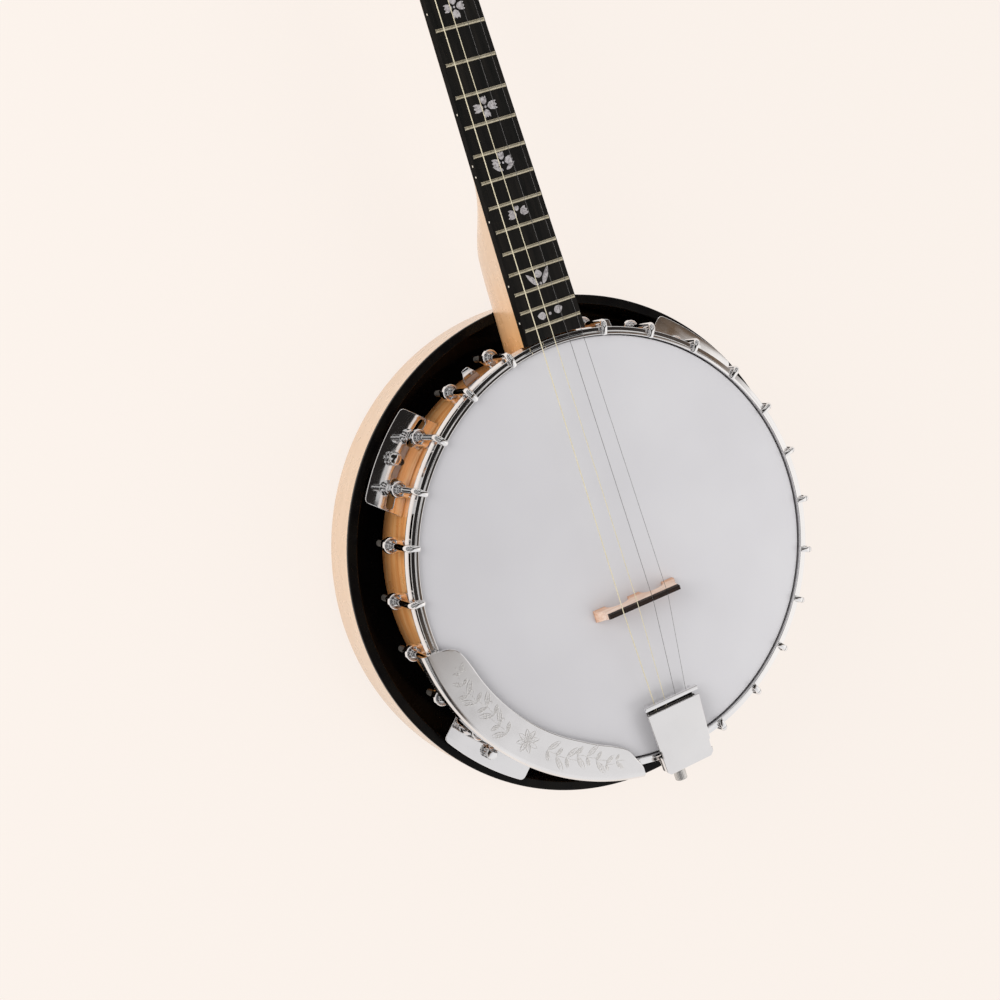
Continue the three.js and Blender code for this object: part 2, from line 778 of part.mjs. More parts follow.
// Headstock: waisted at the nut, widest at the first tuners, rounded at the end
function headstockShape() {
  const nutHalf = boardHalfWidth(nutY);
  const length = headstockLength;
  const half = headstockHalfWidth;
  const tip = headstockTipHalfWidth;
  const share = headstockShares;
  const waistY = length * share.waistHandle;
  const earHandleY = length * share.earHandle;
  const earY = length * share.ear;
  const sideY = length * share.sideHandle;
  const tipSideY = length * share.tipSideHandle;
  const tipSide = tip * share.tipSideWidth;
  const cornerY = length * share.tipCorner;
  const crownY = length * share.crownHandle;
  const crownOuter = tip * share.crownOuterWidth;
  const crownTopY = length * share.crownTop;
  const crownInner = tip * share.crownInnerWidth;
  const shape = new THREE.Shape();
  shape.moveTo(-nutHalf, 0);
  shape.lineTo(nutHalf, 0);
  shape.bezierCurveTo(nutHalf, waistY, half, earHandleY, half, earY);
  shape.bezierCurveTo(half, sideY, tipSide, tipSideY, tip, cornerY);
  shape.bezierCurveTo(crownOuter, crownY, crownInner, crownTopY, 0, length);
  shape.bezierCurveTo(-crownInner, crownTopY, -crownOuter, crownY, -tip, cornerY);
  shape.bezierCurveTo(-tipSide, tipSideY, -half, sideY, -half, earY);
  shape.bezierCurveTo(-half, earHandleY, -nutHalf, waistY, -nutHalf, 0);
  const settings = { depth: headstockThickness, bevelEnabled: false, curveSegments: headstockCurveSteps };
  const slab = new THREE.ExtrudeGeometry(shape, settings).translate(0, 0, -headstockThickness);
  headstockFrame.updateMatrix();
  return slab.applyMatrix4(headstockFrame.matrix);
}

function tunerPlaces() {
  return [
    { x: -nearTunerAcross, y: nearTunerAlong },
    { x: -farTunerAcross, y: farTunerAlong },
    { x: farTunerAcross, y: farTunerAlong },
    { x: nearTunerAcross, y: nearTunerAlong },
  ];
}

function tunerHoles() {
  return tunerPlaces().map(({ x, y }) => {
    const hole = upright(bushingRadius + seatGap, -headstockThickness - cutOverrun, cutOverrun, tunerSides);
    return hole.translate(x, y, 0).applyMatrix4(headstockFrame.matrix);
  });
}

// Equal-tempered fret places, as many as the board has room for
function fretPlaces() {
  const places = [];
  let y = nutY;
  while (y > lastFretRoom) {
    places.push(y);
    y = nutY - scaleLength * (1 - 2 ** (-places.length / semitonesInOctave));
  }
  return places.slice(1);
}

// Fingerboard, hollowed at its end to follow the hoop, with its frets let in
function fingerboardGeometry() {
  const far = nutY - seatGap;
  const near = -boardEndGap * 2;
  const board = raised([
    [-boardHalfWidth(near), near],
    [boardHalfWidth(near), near],
    [boardHalfWidth(far), far],
    [-boardHalfWidth(far), far],
  ], -boardThickness, 0);
  const potEdge = turned([
    [0, hoopBottomZ],
    [hoopOuterRadius + boardPotGap, hoopBottomZ],
    [hoopOuterRadius + boardPotGap, hoopTopZ + cutOverrun],
    [0, hoopTopZ + cutOverrun],
  ], boardEndSegments).applyMatrix4(worldToNeck);
  const frets = fretPlaces().map((y) => (
    sideways([
      [y - fretWidth / 2, -fretSink],
      [y + fretWidth / 2, -fretSink],
      [y + fretWidth / 4, fretHeight],
      [y - fretWidth / 4, fretHeight],
    ], 2 * (boardHalfWidth(y) - fretEndInset))));
  return joined(cut(board, potEdge), ...frets);
}

function stringAcross(index, spacing) {
  return (index - (stringCount - 1) / 2) * spacing;
}

function nutGeometry() {
  const half = boardHalfWidth(nutY);
  const body = block(-half, half, nutY, nutY + nutLength, -boardThickness, nutRise);
  const slots = stringDiameters.map((diameter, i) => {
    const middle = stringAcross(i, stringSpacingAtNut);
    const reach = diameter / 2 + bridgeSlotPlay;
    return block(middle - reach, middle + reach, nutY - cutOverrun, nutY + nutLength + cutOverrun,
      nutSlotFloor, nutRise + cutOverrun);
  });
  return cut(body, ...slots);
}

// Bridge: three feet, two arches, a longer base than top, thinner towards the strings
function bridgeGeometry() {
  const half = bridgeLength / 2;
  const capHalf = bridgeCapLength / 2;
  const shoulder = bridgeHeight * bridgeShoulderShare;
  const archInner = bridgeFootWidth / 2;
  const archOuter = half - bridgeFootWidth;
  const archMiddle = (archInner + archOuter) / 2;
  const archTopOuter = mix(archMiddle, archOuter, bridgeArchTopShare);
  const archTopInner = mix(archMiddle, archInner, bridgeArchTopShare);
  const rise = bridgeArchHeight;
  const outline = outlineOf([
    [-half, 0],
    [-archOuter, 0],
    [-archTopOuter, rise],
    [-archTopInner, rise],
    [-archInner, 0],
    [archInner, 0],
    [archTopInner, rise],
    [archTopOuter, rise],
    [archOuter, 0],
    [half, 0],
    [half, rise / 2],
    [capHalf, shoulder],
    [capHalf, bridgeHeight],
    [-capHalf, bridgeHeight],
    [-capHalf, shoulder],
    [-half, rise / 2],
  ]);
  const settings = { depth: bridgeFootThickness, bevelEnabled: false };
  const body = new THREE.ExtrudeGeometry(outline, settings).rotateX(quarterTurn);
  const place = body.attributes.position;
  for (let i = 0; i < place.count; i += 1) {
    const height = place.getZ(i) / bridgeHeight;
    const side = place.getY(i) < 0 ? -1 : 1;
    place.setY(i, side * mix(bridgeFootThickness, bridgeTopThickness, height) / 2);
  }
  const slots = stringDiameters.map((diameter, i) => {
    const middle = stringAcross(i, stringSpacingAtBridge);
    const reach = diameter / 2 + bridgeSlotPlay;
    return block(middle - reach, middle + reach, -bridgeFootThickness, bridgeFootThickness,
      bridgeHeight - bridgeSlotDepth, bridgeHeight + cutOverrun);
  });
  return cut(body, ...slots).translate(0, bridgeY, headTopZ + seatGap);
}

// Coordinator rod with its inner nuts, the collar behind the rim and the nut behind the tailpiece leg
function rodGeometry() {
  const innerFace = rimInnerRadius - rodInnerNutGap;
  const collarNear = -rimOuterRadius - seatGap;
  const collarFar = tailRearY + tailSheet + seatGap;
  const outerNutNear = tailRearY - seatGap;
  const outerNutFar = outerNutNear - rodNutThickness;
  const tip = outerNutFar - rodRadius / 2;
  return turnedAlongY([
    [0, tip],
    [rodRadius, tip],
    [rodRadius, outerNutFar],
    [rodNutRadius, outerNutFar],
    [rodNutRadius, outerNutNear],
    [rodRadius, outerNutNear],
    [rodRadius, collarFar],
    [rodCollarRadius, collarFar],
    [rodCollarRadius, collarNear],
    [rodRadius, collarNear],
    [rodRadius, -innerFace],
    [rodNutRadius, -innerFace],
    [rodNutRadius, rodNutThickness - innerFace],
    [rodRadius, rodNutThickness - innerFace],
    [rodRadius, innerFace - rodNutThickness],
    [rodNutRadius, innerFace - rodNutThickness],
    [rodNutRadius, innerFace],
    [rodRadius, innerFace],
    [rodRadius, rimOuterRadius + rodHeelReach],
    [0, rimOuterRadius + rodHeelReach],
  ], rodSides).translate(0, 0, rodZ);
}

const tailBaseZ = hoopTopZ + tailBaseLift;
const tailBaseTopZ = tailBaseZ + tailSheet;
const tailTopZ = hoopTopZ + tailTopRise;
const tailHingeY = tailFrontY - tailLipThickness - tailSlotLength - tailHingeRadius / 2;
const tailHingeZ = tailBaseZ + tailHingeAboveBase;

function tailHalfWidth(y) {
  return mix(tailFrontHalfWidth, tailRearHalfWidth, (y - tailFrontY) / (tailRearY - tailFrontY));
}

// Plan between two lines across the tailpiece, drawn in by inset, its far corners cut
function tailPlan(nearY, farY, inset, cornerCut) {
  const nearHalf = tailHalfWidth(nearY) - inset;
  const farHalf = tailHalfWidth(farY) - inset;
  return [
    [-nearHalf, nearY],
    [-farHalf, farY + cornerCut],
    [cornerCut - farHalf, farY],
    [farHalf - cornerCut, farY],
    [farHalf, farY + cornerCut],
    [nearHalf, nearY],
  ];
}

// Tailpiece bracket: a tray over the hoop, a bar across its front, a leg down to the coordinator rod
function tailBracketGeometry() {
  const wallTop = tailTopZ - tailSheet - seatGap;
  const trayPlan = tailPlan(tailFrontY, tailRearY, tailWallInset, tailCornerCut);
  const tray = raised(trayPlan, tailBaseZ, wallTop);
  const rearInside = tailRearY + tailSheet;
  const insidePlan = tailPlan(tailFrontY + cutOverrun, rearInside, tailWallInset + tailSheet, tailCornerCut);
  const inside = raised(insidePlan, tailBaseTopZ, wallTop + cutOverrun);
  const lipY = tailFrontY - tailLipThickness;
  const lip = block(-tailFrontHalfWidth, tailFrontHalfWidth, lipY, tailFrontY,
    tailBaseTopZ + tailLipOpening, tailTopZ);
  const leg = block(-tailLegHalfWidth, tailLegHalfWidth, tailRearY, tailRearY + tailSheet,
    rodZ - tailLegBelowRod, tailBaseTopZ);
  const anchors = stringDiameters.map((diameter, i) => (
    upright(tailAnchorRadius, tailBaseZ + tailSheet / 2, tailBaseTopZ + tailAnchorHeight, shoeSides)
      .translate(stringAcross(i, stringSpacingAtTailpiece), tailAnchorY, 0)));
  const rodHole = turnedAlongY([
    [0, tailRearY - cutOverrun],
    [rodRadius + seatGap, tailRearY - cutOverrun],
    [rodRadius + seatGap, tailRearY + cutOverrun],
    [0, tailRearY + cutOverrun],
  ], rodSides).translate(0, 0, rodZ);
  const studHole = turnedAlongY([
    [0, tailRearY - cutOverrun],
    [tailStudRadius + runningGap, tailRearY - cutOverrun],
    [tailStudRadius + runningGap, tailRearY + cutOverrun],
    [0, tailRearY + cutOverrun],
  ], tailSmallSides).translate(0, 0, hoopTopZ - tailNutBelowHoop);
  const pinHole = alongX(tailPinRadius + runningGap, tailFrontHalfWidth + cutOverrun);
  return joined(cut(joined(cut(tray, inside), leg), rodHole, studHole, pinHole), lip, ...anchors);
}

function alongX(radius, reach) {
  const geometry = new THREE.CylinderGeometry(radius, radius, reach * 2, tailSmallSides);
  return geometry.rotateZ(quarterTurn).translate(0, tailHingeY, tailHingeZ);
}

// Flat cover, hinged at its front end on a pin in the walls of the tray
function tailCoverGeometry() {
  const front = tailHingeY + tailHingeRadius / 2;
  const neckEnd = front - tailCoverNeckLength;
  const neckHalf = tailHalfWidth(neckEnd) - tailWallInset - tailSheet - seatGap;
  const plan = tailPlan(neckEnd, tailRearY, 0, tailCornerCut);
  const leftNeck = [[-neckHalf, front], [-neckHalf, neckEnd]];
  const rightNeck = [[neckHalf, neckEnd], [neckHalf, front]];
  const plate = raised([...leftNeck, ...plan, ...rightNeck], tailTopZ - tailSheet, tailTopZ);
  const innerHalf = tailHalfWidth(tailHingeY) - tailWallInset - tailSheet - seatGap;
  const wallOuter = tailHalfWidth(tailHingeY) - tailWallInset;
  const barrel = alongX(tailHingeRadius, innerHalf);
  const web = block(-innerHalf, innerHalf, tailHingeY - tailHingeRadius, front, tailHingeZ,
    tailTopZ - tailSheet / 2);
  const pin = alongX(tailPinRadius, wallOuter);
  return joined(plate, barrel, web, pin);
}

function tailNutGeometry() {
  const near = tailRearY - seatGap - tailNutStandoff;
  const far = near - tailNutLength;
  const studTip = -hoopOuterRadius - seatGap;
  return turnedAlongY([
    [0, far],
    [tailNutRadius - tailNutTaper, far],
    [tailNutRadius, far + tailNutTaperLength],
    [tailNutRadius, near],
    [tailStudRadius, near],
    [tailStudRadius, studTip],
    [0, studTip],
  ], tailSmallSides).translate(0, 0, hoopTopZ - tailNutBelowHoop);
}

// Armrest: a sheet turned about the pot axis, trimmed to its plan with rounded ends
function armrestGeometry() {
  const underside = hoopTopZ + seatGap + hookBandThickness + seatGap;
  const top = underside + armrestSheet;
  const shoulderRadius = armrestOuterRadius - armrestShoulder;
  const lip = armrestInnerRadius + armrestShoulder;
  const ring = turned([
    [armrestInnerRadius, underside - armrestEdgeDrop],
    [lip, underside],
    [shoulderRadius, underside],
    [armrestOuterRadius - armrestSheet, underside - armrestShoulder],
    [armrestOuterRadius - armrestSheet, underside - armrestSkirt],
    [armrestOuterRadius, underside - armrestSkirt],
    [armrestOuterRadius, underside - armrestShoulder],
    [shoulderRadius + armrestSheet / 2, top],
    [lip, top],
    [armrestInnerRadius, top - armrestEdgeDrop],
  ], armrestSegments);
  return common(ring, raised(armrestPlan(), underside - armrestSkirt - cutOverrun, top + cutOverrun));
}

function armrestPlan() {
  return armrestPlanShares.map(([widthShare, sweepShare]) => {
    const angle = mix(armrestStartAngle, armrestEndAngle, sweepShare);
    return polar(armrestInnerRadius + armrestWidth * widthShare, angle);
  });
}

function tunerHousingGeometry() {
  const bore = postRadius + runningGap;
  const back = -headstockThickness - seatGap;
  return turned([
    [bore, ferruleHeight],
    [bushingRadius, ferruleHeight],
    [ferruleRadius, seatGap],
    [bushingRadius, seatGap],
    [bushingRadius, back],
    [gearCaseRadius, back],
    [gearCaseRadius, back - gearCaseHeight / 2],
    [bushingRadius, back - gearCaseHeight],
    [bore, back - gearCaseHeight],
  ], tunerSides);
}

function tunerButtonGeometry() {
  const shankBottom = -headstockThickness - gearCaseHeight - buttonGap;
  const post = turned([
    [0, shankBottom - buttonHeight / 2],
    [postRadius, shankBottom - buttonHeight / 2],
    [postRadius, postHeight - postCapHeight],
    [postCapRadius, postHeight - postCapHeight],
    [postCapRadius, postHeight],
    [0, postHeight],
  ], tunerSides);
  const paddle = turned([
    [0, 0],
    ...buttonProfileShares.map(([wide, down]) => [buttonHalfWidth * wide, -buttonHeight * down]),
    [0, -buttonHeight],
  ], tunerSides).scale(1, buttonFlatnessShare, 1).translate(0, 0, shankBottom);
  return joined(post, paddle);
}

// One string: loop round its pin, over bridge and nut, and its turns on the tuner post
function stringPoints(index) {
  const radius = stringDiameters[index] / 2;
  const points = [];
  const pinX = stringAcross(index, stringSpacingAtTailpiece);
  const tailZ = tailBaseTopZ + stringAboveTray;
  const loopRadius = tailAnchorRadius + radius + seatGap;
  for (let i = 0; i <= anchorLoopSteps; i += 1) {
    const turn = Math.PI * i / anchorLoopSteps;
    const loopX = pinX - loopRadius * Math.cos(turn);
    const loopY = tailAnchorY - loopRadius * Math.sin(turn);
    points.push(new THREE.Vector3(loopX, loopY, tailZ));
  }
  points.push(new THREE.Vector3(pinX + loopRadius, tailFrontY - tailLipThickness, tailZ));
  const bridgeX = stringAcross(index, stringSpacingAtBridge);
  const bridgeZ = headTopZ + seatGap + bridgeHeight - bridgeSlotDepth + seatGap + radius;
  points.push(new THREE.Vector3(bridgeX, bridgeY - bridgeTopThickness / 2, bridgeZ));
  points.push(new THREE.Vector3(bridgeX, bridgeY + bridgeTopThickness / 2, bridgeZ));
  const nutX = stringAcross(index, stringSpacingAtNut);
  const nutZ = nutSlotFloor + seatGap + radius;
  const nutNear = neckFrame.localToWorld(new THREE.Vector3(nutX, nutY, nutZ));
  const nutFar = neckFrame.localToWorld(new THREE.Vector3(nutX, nutY + nutLength, nutZ));
  points.push(nutNear, nutFar);
  return points.concat(windingPoints(index, radius, headstockFrame.worldToLocal(nutFar.clone())));
}

function windingPoints(index, radius, nutPoint) {
  const { x, y } = tunerPlaces()[index];
  const turnRadius = postRadius + runningGap + radius;
  const sense = x < 0 ? 1 : -1;
  const reach = Math.hypot(nutPoint.x - x, nutPoint.y - y);
  const towardsNut = Math.atan2(nutPoint.y - y, nutPoint.x - x);
  const startTurn = towardsNut + sense * Math.acos(turnRadius / reach);
  const pitch = 2 * radius + windingSelfGap;
  const steps = windingLoops * windingSteps;
  return Array.from({ length: steps + 1 }, (unused, i) => {
    const turn = startTurn + sense * fullTurn * i / windingSteps;
    const height = windingBaseHeight + pitch * (steps - i) / windingSteps;
    const local = new THREE.Vector3(x + turnRadius * Math.cos(turn), y + turnRadius * Math.sin(turn), height);
    return headstockFrame.localToWorld(local);
  });
}

// The least gap between the turns of one winding, measured between points a turn or nearly a turn apart
function leastSelfGap(points, diameter) {
  const winding = points.slice(-(windingLoops * windingSteps + 1));
  let least = Infinity;
  winding.forEach((point, i) => {
    for (let k = i + windingSteps / 2; k < winding.length; k += 1) {
      least = Math.min(least, point.distanceTo(winding[k]) - diameter);
    }
  });
  return least;
}

// Assembly of the pot
add(banjo, 'resonator', resonatorGeometry(), maple);
add(banjo, 'rim', rimGeometry(), maple);
add(banjo, 'tone_ring', toneRingGeometry(), brass);
add(banjo, 'head', headGeometry(), skin);
add(banjo, 'tension_hoop', hoopGeometry(), chrome);
const hook = hookGeometry();
let hookNumber = 0;
for (let place = 1; place < hoopPlaces; place += 1) {
  if (place === hoopPlaces / 2) continue;
  hookNumber += 1;
  const name = `tension_hook_${String(hookNumber).padStart(2, '0')}`;
  add(radialGroup(place * placeAngle), name, hook, chrome);
}
plateAngles().forEach((degrees, i) => {
  const group = radialGroup(degrees);
  add(group, `flange_plate_${i + 1}`, plateGeometry(), chrome);
  add(group, `flange_thumb_screw_${i + 1}`, thumbScrewGeometry(), chrome);
});
add(radialGroup(tabAngleSteps * placeAngle), 'rim_tab_right', tabGeometry(), chrome);
add(radialGroup(-tabAngleSteps * placeAngle), 'rim_tab_left', tabGeometry(), chrome);
add(banjo, 'coordinator_rod', rodGeometry(), steel);
add(banjo, 'armrest', armrestGeometry(), chrome);
add(banjo, 'tailpiece_bracket', tailBracketGeometry(), chrome);
add(banjo, 'tailpiece_cover', tailCoverGeometry(), chrome);
add(banjo, 'tailpiece_tension_nut', tailNutGeometry(), chrome);
add(banjo, 'bridge', bridgeGeometry(), maple);

// Assembly of the neck
add(neckFrame, 'neck', neckGeometry(), maple);
add(neckFrame, 'fingerboard', fingerboardGeometry(), ebony);
add(neckFrame, 'nut', nutGeometry(), bone);
tunerPlaces().forEach(({ x, y }, i) => {
  const tuner = new THREE.Group();
  tuner.position.set(x, y, 0);
  headstockFrame.add(tuner);
  add(tuner, `tuner_housing_${i + 1}`, tunerHousingGeometry(), chrome);
  add(tuner, `tuner_post_and_button_${i + 1}`, tunerButtonGeometry(), chrome);
});

// Strings
stringDiameters.forEach((diameter, i) => {
  const points = stringPoints(i);
  const gap = leastSelfGap(points, diameter);
  console.log(`string ${i + 1}: least gap between its turns ${gap.toFixed(2)} mm`);
  const tube = tubeThrough(points, diameter / 2, stringSides);
  add(banjo, `string_${i + 1}`, tube, i < woundStringCount ? bronze : steel);
});

export default banjo;
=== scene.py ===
import math

import bpy
import bmesh
import numpy as np
from mathutils import Matrix, Vector
from mathutils.geometry import tessellate_polygon


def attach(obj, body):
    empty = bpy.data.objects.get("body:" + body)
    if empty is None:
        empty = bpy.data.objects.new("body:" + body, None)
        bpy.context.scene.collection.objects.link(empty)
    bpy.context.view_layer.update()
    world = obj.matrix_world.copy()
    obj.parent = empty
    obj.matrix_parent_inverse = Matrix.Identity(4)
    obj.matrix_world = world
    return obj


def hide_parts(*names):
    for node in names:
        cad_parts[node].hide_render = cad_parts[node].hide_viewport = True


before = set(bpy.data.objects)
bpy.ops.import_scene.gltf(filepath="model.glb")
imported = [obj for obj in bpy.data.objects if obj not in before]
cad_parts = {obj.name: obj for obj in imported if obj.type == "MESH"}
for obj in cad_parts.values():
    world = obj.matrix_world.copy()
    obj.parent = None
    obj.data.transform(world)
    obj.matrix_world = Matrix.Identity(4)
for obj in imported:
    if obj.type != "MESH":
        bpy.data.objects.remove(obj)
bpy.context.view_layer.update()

# Lengths are millimetres here and become metres in mesh_of(). Angles are degrees from the neck towards +X.
MM = 0.001
TURN, HALF_TURN, QUARTER = 2 * math.pi, math.pi, math.pi / 2

# Pot
HOOP_TOP, HOOP_BOTTOM = 98.0, 85.0
HOOP_OUT, HOOP_IN = 147.5, 141.7
HEAD_TOP, HEAD_THICK = 95.4, 0.5
RIM_OUT, RIM_IN, RIM_LOW, RIM_HIGH = 139.7, 124.7, 20.0, 87.3
TONE_LOW, TONE_HIGH, TONE_WIDE = 87.6, 94.6, 6.0
FIT_RADIUS = 140.0
ROD_Z, ROD_RADIUS, ROD_BORE = 50.0, 4.0, 4.3

# Hooks
PLACES = 26
HOOK_CIRCLE, HOOK_SIDES = 149.9, 20
SHAFT_RADIUS, SHAFT_HOLE = 2.1, 2.15
BAND_HALF, BAND_HALF_THICK = 2.3, 1.5
BEND_Z, BEND_RADIUS, BEND_STEPS = 96.4, 1.9, 8
SHOE_Z, SHOE_FOOT_OUT = 67.0, 147.5
HOOK_NUT_LOW, HOOK_NUT_HIGH, HOOK_NUT_HALF = 57.6, 61.8, 3.7
WASHER_RADIUS, WASHER_HIGH = 3.6, 62.5
THREAD_LOW, THREAD_TURNS, THREAD_PITCH = 44.2, 19, 0.7
CREST_RADIUS, ROOT_RADIUS = 2.18, 1.85

# Resonator
BOWL_OUT, BOWL_IN, BOWL_FLAT, BOWL_FRONT, BOWL_FLOOR = 172.0, 165.5, 142.0, 46.4, 5.0
BINDING_LOW = 44.4
LUG_LOW = 32.4

# Plates with their screws, and the tabs
PLATE_ANGLES = (48.46, -48.46, 131.54, -131.54)
PLATE_HALF, PLATE_THICK, PLATE_OUT, PLATE_LEG = 33.0, 1.6, 167.0, 12.0
PLATE_LOW = BOWL_FRONT + 9.0
PLATE_FOOT_CORNER, PLATE_SIDE_CORNER = 2.4, 3.2
SLOT_ANGLE, SLOT_REACH, SLOT_HALF = 8.2, 2.9, 2.5
SCREW_AT, SCREW_HOLE, BLACK_SCREW_AT = 157.0, 2.3, 150.6
TAB_ANGLE, TAB_HALF, TAB_LOW, TAB_SHEET, TAB_LEG = 20.77, 6.0, 65.0, 1.3, 12.0

# Scale, bridge and strings, the thickest string first
SCALE, FRETS, BRIDGE_Y, NUT_Y = 578.0, 19, -36.4, 392.1
STRINGS = (1.02, 0.76, 0.56, 0.46)
STRING_ROOM = 0.3
AT_BRIDGE, AT_NUT, AT_TAIL = 11.6, 7.0, 8.5
BRIDGE_HIGH, BRIDGE_BASE, BRIDGE_HALF, CAP_HALF, CAP_HIGH = 15.5, 95.7, 31.5, 27.5, 2.8
BRIDGE_FOOT_THICK, BRIDGE_TOP_THICK = 8.0, 2.9
ARCH_FROM, ARCH_TO, ARCH_HIGH = 4.5, 22.5, 6.5

# Neck
BOARD_END_Y, BOARD_TOP, BOARD_THICK, BOARD_SIDE = 149.5, 100.3, 6.0, 7.6
BOARD_HALF, BOARD_TAPER, BOARD_END_RADIUS = 21.5, 0.01704, 148.1
GLUE = 0.3
HEEL_DEEP, HEEL_END_DEEP, NECK_DEEP, NECK_END_DEEP = 61.5, 57.5, 17.5, 13.5
HEEL_LONG, BLEND_LONG = 67, 54
NECK_TILT, HEADSTOCK_TILT = 0.9, 11.0
HEADSTOCK_LONG, HEADSTOCK_THICK, HEADSTOCK_HALF, HEADSTOCK_TIP = 128.0, 13.5, 31.0, 26.0
NUT_LONG, NUT_HIGH, NUT_SLOT = 5.0, 2.0, 0.9
FRET_ROOM = 0.9

# Tuners
TUNERS = ((-19.5, 38.0), (-17.0, 84.0), (17.0, 84.0), (19.5, 38.0))
TUNER_HOLE, BUSHING_BORE, BUSHING_RADIUS, POST_RADIUS = 5.1, 3.3, 4.8, 3.0
WASHER_WIDE, BUTTON_FLATTENED, BUTTON_AT = 6.8, 0.45, -28.5
WINDS, WIND_STEPS = 2, 48

# Tailpiece
TAIL_FRONT, TAIL_REAR, TAIL_FRONT_HALF, TAIL_REAR_HALF = -105.3, -155.5, 21.0, 18.7
TAIL_BASE, TAIL_SHEET, TAIL_TOP = 98.5, 1.2, 106.0
LIP_Y = TAIL_FRONT - 3.1
PIN_Y, PIN_RADIUS = -138.0, 1.0
HINGE_Y, HINGE_Z = -112.05, 103.1
TENSION_Z = 84.0
COVER_CUT, COVER_NOTCH = 2.4, 0.9

# Armrest and its engraving
REST_OUT, REST_WIDE, REST_FROM, REST_TO = 154.6, 26.2, -95.6, -167.7
REST_UNDER, REST_SHEET = 100.2, 1.4
REST_TOP = REST_UNDER + REST_SHEET
REST_EDGE, REST_DROP, REST_SHOULDER = 0.8, 0.7, 3.4
SKIRT_LOW = 89.7
DEGREES_PER_MM = 180 / math.pi / 141.0
ENGRAVED_RADIUS = 140.0


def mix(a, b, share):
    return a + (b - a) * share


def soft_step(t):
    return t * t * (3 - 2 * t)


def sweep(turn, steps):
    """Even steps from 0 to a turn, both ends included."""
    return [turn * k / steps for k in range(steps + 1)]


def around(sides):
    return sweep(TURN, sides)[:-1]


def signed_power(value, power):
    return math.copysign(abs(value) ** power, value)


def polar(radius, degrees):
    turn = math.radians(degrees)
    return (radius * math.sin(turn), radius * math.cos(turn))


def arc(radius, first, last, steps):
    return [polar(radius, mix(first, last, t)) for t in sweep(1, steps)]


def circle(x, y, radius, sides=24):
    return [(x + radius * math.cos(a), y + radius * math.sin(a)) for a in around(sides)]


def knurled(outer, inner, sides):
    """A circle with shallow teeth, two points on each crest and in each gap."""
    radii = [outer if k % 4 < 2 else inner for k in range(sides)]
    return [(r * math.cos(a), r * math.sin(a)) for r, a in zip(radii, around(sides))]


def corners(x0, x1, y0, y1):
    return [(x0, y0), (x1, y0), (x1, y1), (x0, y1)]


def mirrored(line):
    return [(-x, y) for x, y in line[::-1]]


def spaced(points, least):
    """The points less those that lie too near to the one before."""
    kept = [points[0]]
    for p in points[1:]:
        if math.dist(p, kept[-1]) > least:
            kept.append(p)
    return kept


def unit(v):
    return v / np.maximum(np.linalg.norm(v, axis=-1, keepdims=True), 1e-12)


def bend(a, b, c, steps=6):
    """Points of a soft corner from a by b to c."""
    a, b, c = np.array(a), np.array(b), np.array(c)
    return [tuple((1 - t) ** 2 * a + 2 * t * (1 - t) * b + t * t * c) for t in sweep(1, steps)]


def rounded(points, radii, steps=4):
    """A closed outline with its corners rounded, by one radius or one for each corner."""
    count = len(points)
    if np.isscalar(radii):
        radii = [radii] * count
    nearly_straight = 1.55
    out = []
    for k in range(count):
        here = np.array(points[k], float)
        back = np.array(points[k - 1], float) - here
        on = np.array(points[(k + 1) % count], float) - here
        long_back, long_on = np.linalg.norm(back), np.linalg.norm(on)
        if radii[k] <= 0 or min(long_back, long_on) < 1e-9:
            out.append(tuple(here))
            continue
        back, on = back / long_back, on / long_on
        half = math.acos(max(-1.0, min(1.0, float(back @ on)))) / 2
        if half > nearly_straight:
            out.append(tuple(here))
            continue
        reach = min(radii[k] / math.tan(half), long_back * 0.49, long_on * 0.49)
        out += bend(here + back * reach, here, here + on * reach, steps)
    return out


# Shells: points, faces and each face's finish
def shell(points, faces, finish):
    return np.array(points, float), faces, [finish] * len(faces)


def moved(made, matrix):
    points, faces, finishes = made
    m = np.array(matrix)
    return points @ m[:3, :3].T + m[:3, 3], faces, finishes


def turned(made, degrees):
    return moved(made, Matrix.Rotation(-math.radians(degrees), 4, "Z"))


def shift(x, y, z):
    return Matrix.Translation((x, y, z))


def tilted(degrees):
    return Matrix.Rotation(-math.radians(degrees), 4, "X")


ALONG_Y = Matrix.Rotation(-QUARTER, 4, "X")
ALONG_X = Matrix.Rotation(QUARTER, 4, "Y")
UPRIGHT = Matrix.Rotation(QUARTER, 4, "X")
TO_THE_LEFT = Matrix.Rotation(-QUARTER, 4, "Y")
ROD_PLACE = shift(0, 0, ROD_Z) @ ALONG_Y
# Placed like the neck: +Y along the fingerboard, z = 0 at its top
NECK = shift(0, BOARD_END_Y, BOARD_TOP) @ tilted(NECK_TILT)
HEADSTOCK = NECK @ shift(0, NUT_Y + NUT_LONG + GLUE, -3) @ tilted(HEADSTOCK_TILT)


def lathe(profile, finish, sides=64, scale=(1, 1)):
    """A closed profile of (radius, height) turned about Z."""
    count = len(profile)
    points, faces = [], []
    for turn in around(sides):
        c, s = math.cos(turn), math.sin(turn)
        points += [(r * c * scale[0], r * s * scale[1], z) for r, z in profile]
    for k in range(sides):
        for i in range(count):
            j = (i + 1) % count
            if profile[i][0] < 1e-6 and profile[j][0] < 1e-6:
                continue
            a, b = k * count, (k + 1) % sides * count
            faces.append((a + i, b + i, b + j, a + j))
    return shell(points, faces, finish)


def spun(profile, radii, finish, sides=32, steps=4):
    """A profile with rounded corners turned about Z."""
    return lathe(rounded(profile, radii, steps), finish, sides)


def bar(radius, low, high, finish, sides=32, ends=(0, 0)):
    """A round bar along Z with its low and high edges rounded."""
    return spun(corners(0, radius, low, high), [0, *ends, 0], finish, sides)


